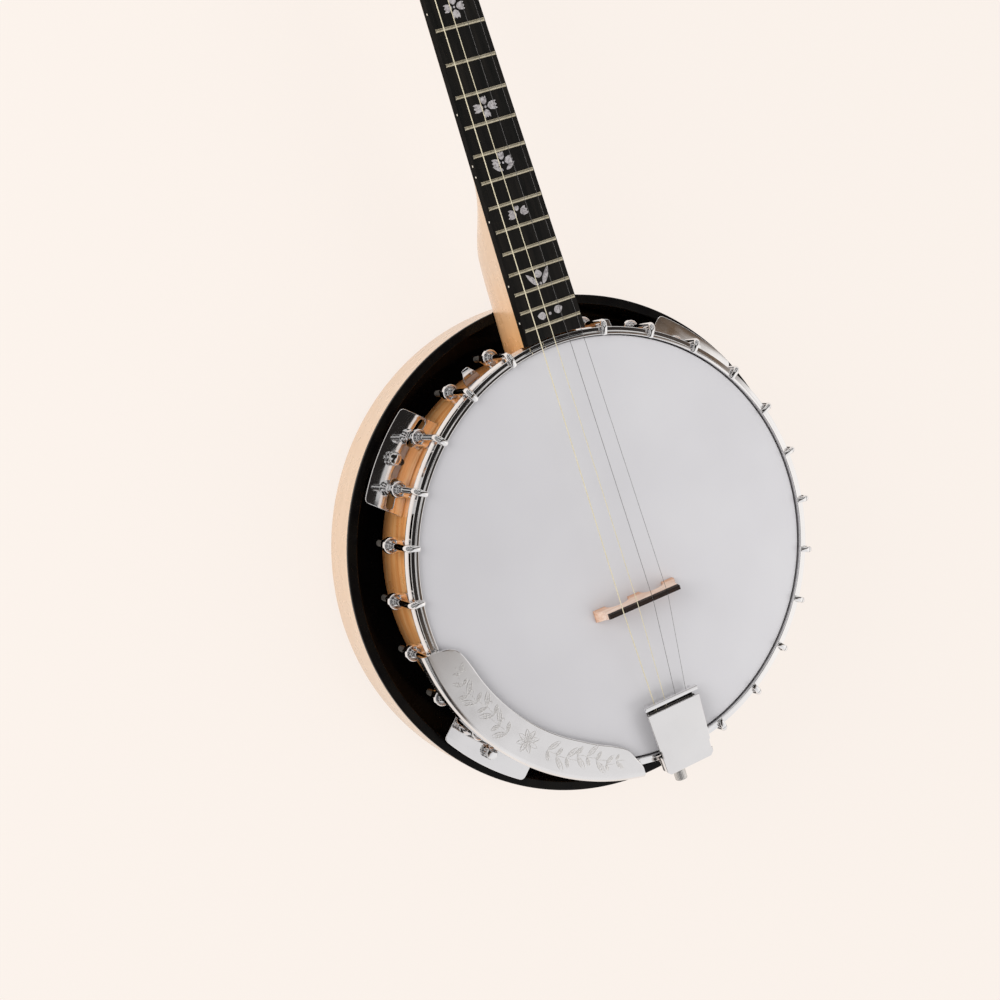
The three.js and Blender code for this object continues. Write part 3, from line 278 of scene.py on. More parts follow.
def loft(rings, finish):
    count = len(rings[0])
    points = np.concatenate([np.array(r, float) for r in rings])
    faces = []
    for ring in range(len(rings) - 1):
        for k in range(count):
            a, b = ring * count + k, ring * count + (k + 1) % count
            faces.append((a, b, b + count, a + count))
    last = (len(rings) - 1) * count
    faces.append(tuple(range(count))[::-1])
    faces.append(tuple(range(last, last + count)))
    return shell(points, faces, finish)


def tube(points, radius, finish, sides=10):
    path = np.array(points, float)
    normal = np.array((0, 0, 1.0))
    rings = []
    for i in range(len(path)):
        along = unit(path[min(i + 1, len(path) - 1)] - path[max(i - 1, 0)])
        normal = unit(normal - along * (normal @ along))
        side = np.cross(along, normal)
        rings.append([path[i] + radius * (normal * math.cos(a) + side * math.sin(a)) for a in around(sides)])
    return loft(rings, finish)


def inset(loop, amount):
    """The loop moved to the left of its own direction."""
    p = np.array(loop, float)
    before, after = unit(p - np.roll(p, 1, 0)), unit(np.roll(p, -1, 0) - p)
    n1, n2 = np.stack((-before[:, 1], before[:, 0]), 1), np.stack((-after[:, 1], after[:, 0]), 1)
    middle = unit(n1 + n2)
    stretch = 1 / np.maximum((middle * n1).sum(1, keepdims=True), 0.4)
    return p + middle * stretch * amount


def slab(outline, low, high, finish, holes=(), edge=0.3, steps=2):
    """A plate between two heights, its edges rounded, with holes through it."""
    loops = []
    for k, loop in enumerate([outline, *holes]):
        p = np.array(loop, float)
        q = np.roll(p, -1, 0)
        area = (p[:, 0] * q[:, 1] - q[:, 0] * p[:, 1]).sum()
        loops.append(p if (area > 0) == (k == 0) else p[::-1])
    levels = [(edge * (1 - math.sin(a)), low + edge * (1 - math.cos(a))) for a in sweep(QUARTER, steps)]
    levels += [(drawn, high + low - z) for drawn, z in reversed(levels)]
    points, faces, bottoms, tops, start = [], [], [], [], 0
    for loop in loops:
        count = len(loop)
        for drawn, z in levels:
            points += [(x, y, z) for x, y in inset(loop, drawn)]
        for level in range(len(levels) - 1):
            for k in range(count):
                a, b = start + level * count + k, start + level * count + (k + 1) % count
                faces.append((a, b, b + count, a + count))
        bottoms += range(start, start + count)
        tops += range(start + (len(levels) - 1) * count, start + len(levels) * count)
        start += len(levels) * count
    flat = [[Vector((x, y, 0)) for x, y in inset(loop, edge)] for loop in loops]
    for a, b, c in tessellate_polygon(flat):
        faces.append((tops[a], tops[b], tops[c]))
        faces.append((bottoms[c], bottoms[b], bottoms[a]))
    return shell(points, faces, finish)


def brick(x0, x1, y0, y1, z0, z1, finish, edge=0.4):
    return slab(corners(x0, x1, y0, y1), z0, z1, finish, edge=edge)


def placed(name, data):
    obj = bpy.data.objects.new(name, data)
    bpy.context.scene.collection.objects.link(obj)
    return obj


def mesh_of(shells):
    """One mesh of closed shells, welded and facing outward, and its finishes in order."""
    points, faces, marks, finishes = [], [], [], []
    start = 0
    for made in shells:
        points.append(made[0] * MM)
        faces += [tuple(start + v for v in f) for f in made[1]]
        for finish in made[2]:
            if finish not in finishes:
                finishes.append(finish)
            marks.append(finishes.index(finish))
        start += len(made[0])
    mesh = bpy.data.meshes.new("piece")
    mesh.from_pydata(np.concatenate(points).tolist(), [], faces)
    mesh.polygons.foreach_set("material_index", marks)
    bm = bmesh.new()
    bm.from_mesh(mesh)
    bmesh.ops.remove_doubles(bm, verts=bm.verts, dist=2e-7)
    bmesh.ops.dissolve_degenerate(bm, edges=bm.edges, dist=1e-8)
    bmesh.ops.recalc_face_normals(bm, faces=bm.faces)
    bm.to_mesh(mesh)
    bm.free()
    for finish in finishes:
        mesh.materials.append(FINISHES[finish])
    return mesh


CUT, JOIN = "DIFFERENCE", "UNION"


def combine(base, *steps):
    """The mesh of a shell after boolean steps in order, each an operation and a shell."""
    body = placed("base", mesh_of([base]))
    spare = [body]
    for operation, made in steps:
        tool = placed("tool", mesh_of([made]))
        spare.append(tool)
        step = body.modifiers.new("cut", "BOOLEAN")
        step.operation, step.solver, step.object = operation, "EXACT", tool
    mesh = bpy.data.meshes.new_from_object(body.evaluated_get(bpy.context.evaluated_depsgraph_get()))
    for obj in spare:
        bpy.data.objects.remove(obj)
    return mesh


def piece(name, made, slot, *nodes, body="root", smooth=38, paint=None):
    """An object of the scene that stands for CAD nodes."""
    mesh = mesh_of(made) if isinstance(made, list) else made
    mesh.name = name
    if paint:
        finishes, choose = paint
        mesh.materials.clear()
        for finish in finishes:
            mesh.materials.append(FINISHES[finish])
        mesh.polygons.foreach_set("material_index", [choose(p.center / MM, p.normal) for p in mesh.polygons])
    mesh.shade_smooth()
    mesh.set_sharp_from_angle(angle=math.radians(smooth))
    mesh.update()
    obj = placed(name, mesh)
    # Large faces keep their own direction beside rounded edges
    even = obj.modifiers.new("normals", "WEIGHTED_NORMAL")
    even.keep_sharp = True
    even.weight = 100
    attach(obj, body)
    if nodes:
        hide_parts(*nodes)
    return obj


# Materials. Each is made of noise in the object's own coordinates.
FINISHES = {}
WHITE, BLACK = (1, 1, 1), (0, 0, 0)


def feed(tree, socket, given):
    """Link a socket to another one, or set its plain value."""
    if isinstance(given, bpy.types.NodeSocket):
        tree.links.new(given, socket)
    else:
        socket.default_value = (*given, 1) if socket.type == "RGBA" else given


def node(tree, kind, inputs=(), out=0, **settings):
    """One output of a new shader node, or all of them, with its inputs fed by name or number."""
    made = tree.nodes.new("ShaderNode" + kind)
    for key, value in settings.items():
        setattr(made, key, value)
    for key, given in dict(inputs).items():
        feed(tree, made.inputs[key], given)
    return made.outputs if out is None else made.outputs[out]


def reckon(tree, operation, *inputs):
    return node(tree, "Math", enumerate(inputs), operation=operation)


def spread(tree, value, low, high, to_low=0.0, to_high=1.0):
    given = {0: value, "From Min": low, "From Max": high, "To Min": to_low, "To Max": to_high}
    return node(tree, "MapRange", given)


def blend(tree, share, first, second, kind="MIX"):
    """A mix of two colours by a share."""
    return node(tree, "Mix", {0: share, 6: first, 7: second}, 2, data_type="RGBA", blend_type=kind)


def noise(tree, place, size, detail, **inputs):
    return node(tree, "TexNoise", {"Vector": place, "Scale": size, "Detail": detail, **inputs}, "Fac")


def stretch(tree, place, scale):
    return node(tree, "Mapping", {"Vector": place, "Scale": scale})


def ramp(tree, factor, stops):
    made = tree.nodes.new("ShaderNodeValToRGB")
    elements = made.color_ramp.elements
    while len(elements) < len(stops):
        elements.new(0.5)
    for element, (place, colour) in zip(elements, stops):
        element.position = place
        element.color = (*colour, 1)
    tree.links.new(factor, made.inputs[0])
    return made.outputs[0]


def surface(name, stops, rough, scale=(1, 1, 1), size=40, detail=5, metallic=0.0, bump=0.0, bump_size=400,
            bump_scale=None, coat=0.0, coat_rough=0.05, level=0.5, spots=None, distortion=0.0, painted_light=None):
    """A finish whose colour runs over stops by stretched noise; rough is (least, most) by a second noise."""
    material = bpy.data.materials.new(name)
    material.use_nodes = True
    tree = material.node_tree
    place = node(tree, "TexCoord", out="Object")
    stretched = stretch(tree, place, scale)
    colour = ramp(tree, noise(tree, stretched, size, detail, Roughness=0.6, Distortion=distortion), stops)
    if spots:
        # Small darker flecks
        fleck_size, darkening, fleck_colour = spots
        flecks = noise(tree, stretched, fleck_size, 2.0)
        share = ramp(tree, flecks, [(0.6, BLACK), (0.72, (darkening,) * 3)])
        colour = blend(tree, share, colour, fleck_colour)
    if painted_light:
        # Painted light and shade: a tint that changes from one place to another along a direction
        direction, start, end, first, last = painted_light
        along = node(tree, "VectorMath", {0: place, 1: direction}, "Value", operation="DOT_PRODUCT")
        painted_tints = ramp(tree, spread(tree, along, start, end), [(0.0, first), (1.0, last)])
        colour = blend(tree, 1.0, colour, painted_tints, "MULTIPLY")
    wear = noise(tree, place, 90.0, 4.0)
    given = {"Base Color": colour, "Roughness": spread(tree, wear, 0.3, 0.7, *rough), "Metallic": metallic,
             "Specular IOR Level": level, "Coat Weight": coat, "Coat Roughness": coat_rough}
    if bump:
        source = stretch(tree, place, bump_scale) if bump_scale else place
        relief = noise(tree, source, bump_size, 3.0)
        given["Normal"] = node(tree, "Bump", {"Strength": bump, "Distance": 0.0002, "Height": relief})
    for key, value in given.items():
        feed(tree, tree.nodes["Principled BSDF"].inputs[key], value)
    FINISHES[name] = material


PALE = [(0.3, (0.68, 0.475, 0.305)), (0.5, (0.71, 0.50, 0.33)), (0.7, (0.745, 0.54, 0.365))]
ORANGE = [(0.3, (0.74, 0.27, 0.075)), (0.5, (0.90, 0.40, 0.13)), (0.7, (0.95, 0.56, 0.25))]
surface("maple_round", PALE, (0.24, 0.34), scale=(1, 1, 12), size=9, bump=0.015, bump_size=60,
        bump_scale=(1, 1, 12), coat=0.4, coat_rough=0.14, distortion=0.3)
# The neck's maple is painted redder and brighter near the pot along Y: painted orange light reflected from
# the rim and bowl onto the heel
surface("maple_long", PALE, (0.24, 0.34), scale=(12, 1, 12), size=9, bump=0.015, bump_size=60,
        bump_scale=(12, 1, 12), coat=0.4, coat_rough=0.14, distortion=0.3,
        painted_light=((0, 1, 0), 0.148, 0.20, (1.22, 0.95, 0.62), WHITE))
surface("maple_rim", ORANGE, (0.25, 0.4), scale=(1, 1, 10), size=16, bump=0.2, bump_size=60,
        bump_scale=(1, 1, 12), coat=0.4, distortion=0.8, spots=(70, 0.35, (0.45, 0.2, 0.07)))
surface("black_lacquer", [(0.4, (0.0035, 0.003, 0.003)), (0.6, (0.0065, 0.0055, 0.005))], (0.10, 0.20),
        size=30, bump=0.05, bump_size=120, level=0.16)
surface("black_binding", [(0.4, (0.0025, 0.002, 0.002)), (0.6, (0.005, 0.004, 0.003))], (0.18, 0.3),
        size=60, bump=0.06, bump_size=200, level=0.12)
# Metals: name, darkest and lightest colour, roughness, size of the colour's noise, bump and the bump's size
METALS = (
    ("chrome", (0.80, 0.80, 0.81), (0.88, 0.87, 0.87), (0.03, 0.09), 25, 0.035, 70),
    ("chrome_sheet", (0.80, 0.79, 0.79), (0.87, 0.86, 0.86), (0.07, 0.16), 18, 0.03, 40),
    ("chrome_cut", (0.72, 0.70, 0.69), (0.93, 0.92, 0.91), (0.14, 0.26), 600, 0.5, 2500),
    ("steel", (0.55, 0.54, 0.53), (0.70, 0.69, 0.67), (0.18, 0.3), 120, 0.1, 900),
    # Dark steel; on the hook threads its darkness is painted shade from the resonator round them
    ("steel_dark", (0.07, 0.065, 0.06), (0.13, 0.12, 0.11), (0.22, 0.36), 200, 0.15, 1200),
    ("fret_wire", (0.46, 0.41, 0.30), (0.62, 0.57, 0.44), (0.18, 0.32), 200, 0.15, 1200),
    ("brass", (0.62, 0.46, 0.18), (0.76, 0.60, 0.28), (0.2, 0.35), 60, 0.1, 500),
)
for name, dark, light, rough, size, bump, bump_size in METALS:
    surface(name, [(0.3, dark), (0.7, light)], rough, size=size, metallic=1.0, bump=bump, bump_size=bump_size)
surface("bronze_wound", [(0.35, (0.70, 0.62, 0.42)), (0.65, (0.84, 0.77, 0.58))], (0.36, 0.5),
        size=900, metallic=0.15, bump=0.8, bump_size=1600, bump_scale=(0.2, 2.2, 0.2))
surface("string_steel", [(0.35, (0.20, 0.20, 0.20)), (0.65, (0.34, 0.33, 0.33))], (0.2, 0.3),
        size=400, metallic=1.0, bump=0.1, bump_size=1500)
# The head is painted darker towards -X and plain towards +X: painted shade across the head
surface("skin_coated", [(0.3, (0.68, 0.664, 0.676)), (0.5, (0.712, 0.697, 0.709)),
                        (0.7, (0.74, 0.726, 0.734))],
        (0.5, 0.62), size=7, detail=3, bump=0.22, bump_size=2600, level=0.3,
        painted_light=((0.945, -0.326, 0), -0.14, 0.14, (0.82, 0.82, 0.825), WHITE))
surface("ebony", [(0.35, (0.004, 0.004, 0.0035)), (0.55, (0.008, 0.007, 0.006)),
                  (0.75, (0.016, 0.013, 0.01))],
        (0.35, 0.5), scale=(14, 0.8, 14), size=22, detail=8, bump=0.3, bump_size=90,
        bump_scale=(16, 1, 16), level=0.16)
# The same ebony, painted darker and duller for the board's side faces: painted shade
surface("ebony_side_painted_shade", [(0.35, (0.003, 0.003, 0.003)), (0.7, (0.009, 0.008, 0.007))], (0.45, 0.6),
        scale=(14, 0.8, 14), size=22, detail=8, bump=0.2, bump_size=90, bump_scale=(16, 1, 16), level=0.02)
surface("cap_ebony", [(0.35, (0.008, 0.005, 0.0035)), (0.55, (0.02, 0.011, 0.008)),
                      (0.75, (0.055, 0.028, 0.018))],
        (0.38, 0.52), scale=(1, 12, 12), size=60, detail=8, bump=0.4, bump_size=150,
        bump_scale=(1, 14, 14), level=0.2)
# The bridge's maple is painted darker and more orange at its feet, up to about 102.5 mm: painted shade at the
# feet and under the arches
surface("bridge_maple", [(0.3, (0.72, 0.49, 0.37)), (0.55, (0.85, 0.65, 0.53)), (0.75, (0.90, 0.75, 0.65))],
        (0.4, 0.55), scale=(1, 10, 10), size=60, detail=6, bump=0.3, bump_size=160, bump_scale=(1, 12, 12),
        painted_light=((0, 0, 1), 0.0955, 0.1025, (0.80, 0.56, 0.40), WHITE))
surface("bone", [(0.3, (0.72, 0.66, 0.54)), (0.7, (0.86, 0.82, 0.72))], (0.3, 0.42),
        scale=(1, 5, 5), size=70, bump=0.1, bump_size=600)
surface("pearl", [(0.3, (0.17, 0.155, 0.16)), (0.45, (0.36, 0.335, 0.335)), (0.6, (0.54, 0.51, 0.505)),
                  (0.75, (0.29, 0.29, 0.31))],
        (0.12, 0.3), size=260, detail=3, distortion=2.2, coat=0.6, bump=0.05, bump_size=400)
surface("black_steel", [(0.3, (0.010, 0.010, 0.011)), (0.7, (0.03, 0.03, 0.03))], (0.25, 0.4),
        size=300, bump=0.2, bump_size=900)

# Rim, tone ring and head
rim = spun(corners(RIM_IN, RIM_OUT, RIM_LOW, RIM_HIGH), 1.0, "maple_rim", 192)
rim_bore = moved(bar(ROD_BORE, -160, 160, "maple_rim"), ROD_PLACE)
piece("rim_wood", combine(rim, (CUT, rim_bore)), "maple", "rim")
tone = corners(RIM_OUT - TONE_WIDE, RIM_OUT, TONE_LOW, TONE_HIGH)
piece("tone_ring_brass", [spun(tone, [0.4, 0.4, 2.2, 1.0], "brass", 192)], "brass", "tone_ring")
under, edge_out, flesh_out, flesh_low, flesh_high = HEAD_TOP - HEAD_THICK, FIT_RADIUS + 1.2, 143.9, 85.6, 88.6
head = spun([(0, HEAD_TOP), (edge_out, HEAD_TOP), (edge_out, flesh_high), (flesh_out, flesh_high),
             (flesh_out, flesh_low), (FIT_RADIUS, flesh_low), (FIT_RADIUS, under), (0, under)],
            [0, 1.0, 0.3, 0.6, 0.6, 0.2, 0.9, 0], "skin_coated", 256, 6)
piece("head_skin", [head], "skin", "head")

# Tension hoop: a rounded rail and a shelf on top, a slanted bead at the foot of its wall
rail_out, rail_low, shelf_out, wall_in = 143.9, 88.9, 146.9, 144.2
hoop = spun([
    (HOOP_IN, HOOP_TOP), (rail_out, HOOP_TOP), (wall_in, 96.9), (shelf_out, 96.8), (146.4, 89.2),
    (HOOP_OUT, 87.4), (HOOP_OUT, 86.5), (146.1, HOOP_BOTTOM), (wall_in, HOOP_BOTTOM), (wall_in, rail_low),
    (HOOP_IN, rail_low),
], [0.5, 1.0, 0.3, 0.45, 0.5, 0.4, 0.3, 0.3, 0.2, 0.2, 0.3], "chrome", 256, 7)
piece("tension_hoop_chrome", [hoop], "chrome", "tension_hoop")


# Hooks with their shoes and nuts
def hook_shells():
    """A hook at +Y: the round shaft flattens to a band that bends over the hoop."""
    # Stations of the hook: y, z, half its width, half its thickness
    path = [(HOOK_CIRCLE, z, SHAFT_RADIUS, SHAFT_RADIUS) for z in (57.0, 62.0, 75.0, 88.0, 94.0, 96.0)]
    for k, a in enumerate(sweep(QUARTER, BEND_STEPS)):
        y, z = HOOK_CIRCLE - BEND_RADIUS + BEND_RADIUS * math.cos(a), BEND_Z + BEND_RADIUS * math.sin(a)
        share = k / BEND_STEPS
        path.append((y, z, mix(SHAFT_RADIUS, BAND_HALF, share), mix(SHAFT_RADIUS, BAND_HALF_THICK, share)))
    path += [(147.2, 99.1, 2.15, 1.15), (146.0, 99.3, 1.95, 0.95), (144.0, 99.15, 1.9, 0.92),
             (142.2, 98.98, 1.85, 0.9), (141.6, 98.85, 1.7, 0.75), (141.4, 98.75, 1.4, 0.5)]
    across = np.array((1.0, 0, 0))
    rings = []
    for i, (y, z, half_wide, half_thick) in enumerate(path):
        back, on = path[max(i - 1, 0)], path[min(i + 1, len(path) - 1)]
        along = unit(np.array((0, on[0] - back[0], on[1] - back[1])))
        out = np.cross(across, along)
        power = mix(0.8, 1.0, min(1.0, half_thick / SHAFT_RADIUS))
        ring = []
        for a in around(HOOK_SIDES):
            c, s = signed_power(math.cos(a), power), signed_power(math.sin(a), power)
            ring.append(np.array((0, y, z)) + across * half_wide * c + out * half_thick * s)
        rings.append(ring)
    # Round shoe open at the top like a cup, a collar round the shaft in it, its foot on the rim
    cup = [(SHAFT_HOLE, -4.2), (3.7, -4.4), (4.9, -3.5), (5.6, -1.6), (5.7, 0.8), (5.4, 2.4), (4.9, 3.1),
           (4.4, 2.6), (4.1, 1.2), (3.8, 1.1), (3.4, 2.2), (2.8, 3.3), (SHAFT_HOLE, 3.7)]
    cup = spun(cup, 0.35, "chrome", 36, 2)
    foot = spun([(0, FIT_RADIUS), (4.3, FIT_RADIUS), (4.0, 143.0), (4.3, SHOE_FOOT_OUT), (0, SHOE_FOOT_OUT)],
                [0, 0.5, 1, 0.5, 0], "chrome", 28, 3)
    made = [loft(rings, "chrome"), moved(cup, shift(0, HOOK_CIRCLE, SHOE_Z)),
            moved(foot, shift(0, 0, SHOE_Z) @ ALONG_Y)]
    # Hexagonal nut with turned-down corners, a washer above it and the thread below it
    hexagon = rounded(circle(0, 0, HOOK_NUT_HALF / math.cos(math.pi / 6), 6), 0.5, 3)
    hole = [circle(0, 0, SHAFT_HOLE, 20)]
    nut = slab(hexagon, HOOK_NUT_LOW, HOOK_NUT_HIGH, "chrome", holes=hole, edge=0.6, steps=3)
    washer = slab(circle(0, 0, WASHER_RADIUS, 28), HOOK_NUT_HIGH, WASHER_HIGH, "chrome", holes=hole, edge=0.2)
    # The thread is in dark steel as painted shade, for the shade inside the resonator
    thread = [(1.7, THREAD_LOW)]
    for k in range(THREAD_TURNS):
        crest = THREAD_LOW + 0.3 + k * THREAD_PITCH
        thread += [(CREST_RADIUS, crest), (ROOT_RADIUS, crest + THREAD_PITCH / 2)]
    thread += [(0, HOOK_NUT_LOW + 0.1), (0, THREAD_LOW)]
    made += [moved(s, shift(0, HOOK_CIRCLE, 0)) for s in (nut, washer, lathe(thread, "steel_dark", 20))]
    return made


# All places but those of the neck and the tailpiece
hook = hook_shells()
hook_places = [k for k in range(1, PLACES) if k != PLACES // 2]
for number, place in enumerate(hook_places, 1):
    angle = place * 360 / PLACES
    piece(f"hook_{number:02d}", [turned(s, angle) for s in hook], "chrome", f"tension_hook_{number:02d}")


# Resonator, with room for the heel
def board_half(y):
    return BOARD_HALF - BOARD_TAPER * y


def neck_depth(y):
    """How deep the neck is under the board: a heel, a soft blend, then the slim neck."""
    start = RIM_OUT - BOARD_END_Y
    heel_end = start + HEEL_LONG
    blend_end = heel_end + BLEND_LONG
    if y < heel_end:
        return mix(HEEL_DEEP, HEEL_END_DEEP, (y - start) / HEEL_LONG)
    if y > blend_end:
        return mix(NECK_DEEP, NECK_END_DEEP, (y - blend_end) / (NUT_Y - blend_end))
    return mix(HEEL_END_DEEP, NECK_DEEP, soft_step((y - heel_end) / BLEND_LONG))


def neck_ring(y, extra=0.0, steps=28):
    """The neck's cross-section. Past the heel it turns rounder and lies further in under the board."""
    slim = soft_step(max(0.0, min(1.0, (y - 40) / 80)))
    wide = board_half(y) - 0.8 * (1 - y / NUT_Y) - slim + extra
    top = -(BOARD_SIDE if y < NUT_Y - 0.2 else BOARD_THICK) - GLUE
    deep = neck_depth(y) + extra - (-BOARD_THICK - GLUE - top)
    out = []
    for a in sweep(HALF_TURN, steps):
        x = wide * signed_power(math.cos(a), mix(0.75, 1.1, slim))
        out.append((x, y, top - deep * abs(math.sin(a)) ** mix(0.9, 1.0, slim)))
    return out


def bowl_paint(centre, normal):
    """Maple outside and below, black inside, black binding on the front edge."""
    radius = math.hypot(centre.x, centre.y)
    outside = radius > BOWL_OUT - 2.2 and centre.z < BINDING_LOW
    below = centre.z < 4 + max(0, radius - BOWL_FLAT) * 0.2 and normal.z < 0.2
    if outside or below:
        return 0
    return 2 if centre.z > BINDING_LOW - 0.4 and radius > BOWL_IN - 1 else 1


bowl = spun([
    (0, 0), (BOWL_FLAT, 0), (BOWL_OUT - 1.5, 5.6), (BOWL_OUT, 9.0), (BOWL_OUT, 43.6), (BOWL_OUT, BOWL_FRONT),
    (BOWL_IN, BOWL_FRONT), (BOWL_IN, 12.0), (BOWL_FLAT, BOWL_FLOOR), (0, BOWL_FLOOR),
], [0, 20, 4, 5, 0, 1.1, 0.9, 5, 12, 0], "black_lacquer", 256, 6)
heel_room = moved(loft([neck_ring(y, 0.9) for y in (1.0, 12.0, 26.5)], "black_lacquer"), NECK)
piece("resonator_bowl", combine(bowl, (CUT, heel_room)), "maple", "resonator",
      paint=(("maple_round", "black_lacquer", "black_binding"), bowl_paint))
lug = slab(rounded(corners(-11, 11, 150.5, 166.5), [3, 3, 0.3, 0.3]), LUG_LOW, BOWL_FRONT - 0.02,
           "black_lacquer", holes=[circle(0, SCREW_AT, SCREW_HOLE)], edge=0.5)
for k, angle in enumerate(PLATE_ANGLES):
    piece(f"resonator_lug_{k + 1}", [turned(lug, angle)], "maple")


def plate_shells():
    """Flange plate at +Y: leaf with two slots, leg, boss, and the head of a black screw."""
    low, high = PLATE_LOW, PLATE_LOW + PLATE_THICK
    inner, outer = FIT_RADIUS + 0.02, PLATE_OUT

    def end(radius, short=0.0):
        """The angle at which the plate ends at a radius."""
        return math.degrees(math.asin((PLATE_HALF - short) / radius))

    near, wide = end(inner, PLATE_FOOT_CORNER), end(outer, PLATE_SIDE_CORNER)
    foot_on, side_back = inner + PLATE_FOOT_CORNER, outer - PLATE_SIDE_CORNER
    side = bend(polar(inner, near), polar(inner, end(inner)), polar(foot_on, end(foot_on)))
    side += bend(polar(side_back, end(side_back)), polar(outer, end(outer)), polar(outer, wide))
    outline = side + arc(outer, wide, -wide, 30)[1:-1] + mirrored(side) + arc(inner, -near, near, 30)[1:-1]
    half = math.degrees(SLOT_HALF / HOOK_CIRCLE)
    turns = sweep(HALF_TURN, 8)[1:-1]
    holes = []
    for middle in (SLOT_ANGLE, -SLOT_ANGLE):
        first, last = middle - SLOT_REACH, middle + SLOT_REACH
        loop = arc(HOOK_CIRCLE - SLOT_HALF, first, last, 8)
        loop += [polar(HOOK_CIRCLE - SLOT_HALF * math.cos(a), last + half * math.sin(a)) for a in turns]
        loop += arc(HOOK_CIRCLE + SLOT_HALF, last, first, 8)
        loop += [polar(HOOK_CIRCLE + SLOT_HALF * math.cos(a), first - half * math.sin(a)) for a in turns]
        holes.append(loop)
    hole = circle(0, SCREW_AT, SCREW_HOLE)
    leaf = slab(outline, low, high, "chrome", holes=[*holes, hole], edge=0.4, steps=3)
    leg_end = SLOT_ANGLE + SLOT_REACH
    leg = slab(arc(inner, -leg_end, leg_end, 24) + arc(inner + PLATE_THICK, leg_end, -leg_end, 24),
               low - PLATE_LEG, high - 0.5, "chrome", edge=0.4)
    # Boss under the leaf that stands on the resonator's lug
    boss = slab(circle(0, SCREW_AT, 5.0, 36), BOWL_FRONT + 0.3, low + 0.2, "chrome", holes=[hole], edge=0.3)
    # Domed head with a round socket
    dome = spun([(0, high - 0.2), (2.2, high - 0.2), (2.2, high + 0.5), (1.5, high + 1.4), (1.0, high + 1.55),
                 (0.95, high + 0.8), (0, high + 0.7)], [0, 0.1, 0.5, 0.3, 0.1, 0.1, 0], "black_steel", 28, 3)
    return [leaf, leg, boss, moved(dome, shift(0, BLACK_SCREW_AT, 0))]


def thumb_screw_shells():
    """Thumb screw in its plate at +Y: knurled grip, collar, dome and shaft."""
    base, tip = PLATE_LOW + PLATE_THICK + 0.3, PLATE_LOW - 20
    grip = slab(knurled(4.7, 4.3, 80), base + 1.2, base + 4.9, "chrome", edge=0.35)
    collar = bar(3.6, base, base + 1.4, "chrome", ends=(0.4, 0.2))
    dome = spun([(0, base + 4.7), (3.9, base + 4.7), (3.6, base + 5.5), (0, base + 6.0)], [0, 0.3, 1.2, 0],
                "chrome", steps=5)
    shaft = lathe([(0, tip), (1.7, tip), (2.0, tip + 0.5), (2.0, base + 0.2), (0, base + 0.2)], "steel", 24)
    return [moved(s, shift(0, SCREW_AT, 0)) for s in (grip, collar, dome, shaft)]


plate, thumb_screw = plate_shells(), thumb_screw_shells()
for k, angle in enumerate(PLATE_ANGLES):
    piece(f"plate_{k + 1}", [turned(s, angle) for s in plate], "chrome", f"flange_plate_{k + 1}")
    piece(f"thumb_screw_{k + 1}_chrome", [turned(s, angle) for s in thumb_screw], "chrome",
          f"flange_thumb_screw_{k + 1}", body=f"thumb_screw_{k + 1}")

# Folded tabs beside the neck
leg = rounded(corners(-TAB_HALF, TAB_HALF, 0, TAB_LEG), [0.3, 0.3, 3, 3])
leg = slab(leg, 0, TAB_SHEET, "chrome", edge=0.35)
leaf = rounded([(-TAB_HALF, FIT_RADIUS), (TAB_HALF, FIT_RADIUS), (TAB_HALF, 147), (2.5, 154), (-2.5, 154),
                (-TAB_HALF, 147)], [0.3, 0.3, 2, 1.6, 1.6, 2])
leaf = slab(leaf, TAB_LOW, TAB_LOW + TAB_SHEET, "chrome", edge=0.35)
fold = bar(1.5, -5.6, 5.6, "chrome", 20, (0.4, 0.4))
tab = [leaf, moved(leg, shift(0, FIT_RADIUS + TAB_SHEET, TAB_LOW) @ UPRIGHT),
       moved(fold, shift(0, 141.4, 66.2) @ ALONG_X)]
for side, angle in (("right", TAB_ANGLE), ("left", -TAB_ANGLE)):
    piece(f"tab_{side}", [turned(s, angle) for s in tab], "chrome", f"rim_tab_{side}")

# Coordinator rod with its nuts and collar
rod = [bar(ROD_RADIUS, -162.8, 157.7, "steel", ends=(0.8, 0.8))]
for low in (-160.8, -124.0, 119.0):
    rod.append(slab(rounded(circle(0, 0, 7, 6), 0.6, 3), low, low + 5.0, "steel", edge=0.6))
rod.append(spun(corners(3.5, 6, -154.0, -140.0), 0.5, "steel"))
piece("coordinator_rod_steel", [moved(s, ROD_PLACE) for s in rod], "steel", "coordinator_rod")


def notches(apart, high, low):
    """The top line of bridge or nut from +X to -X, with a notch for each string."""
    line = []
    for i, diameter in enumerate(STRINGS[::-1]):
        centre, room = (1.5 - i) * apart, diameter / 2 + STRING_ROOM
        line += [(centre + room, high), (centre + room * 0.8, low)]
        line += [(centre - room * 0.8, low), (centre - room, high)]
    return line


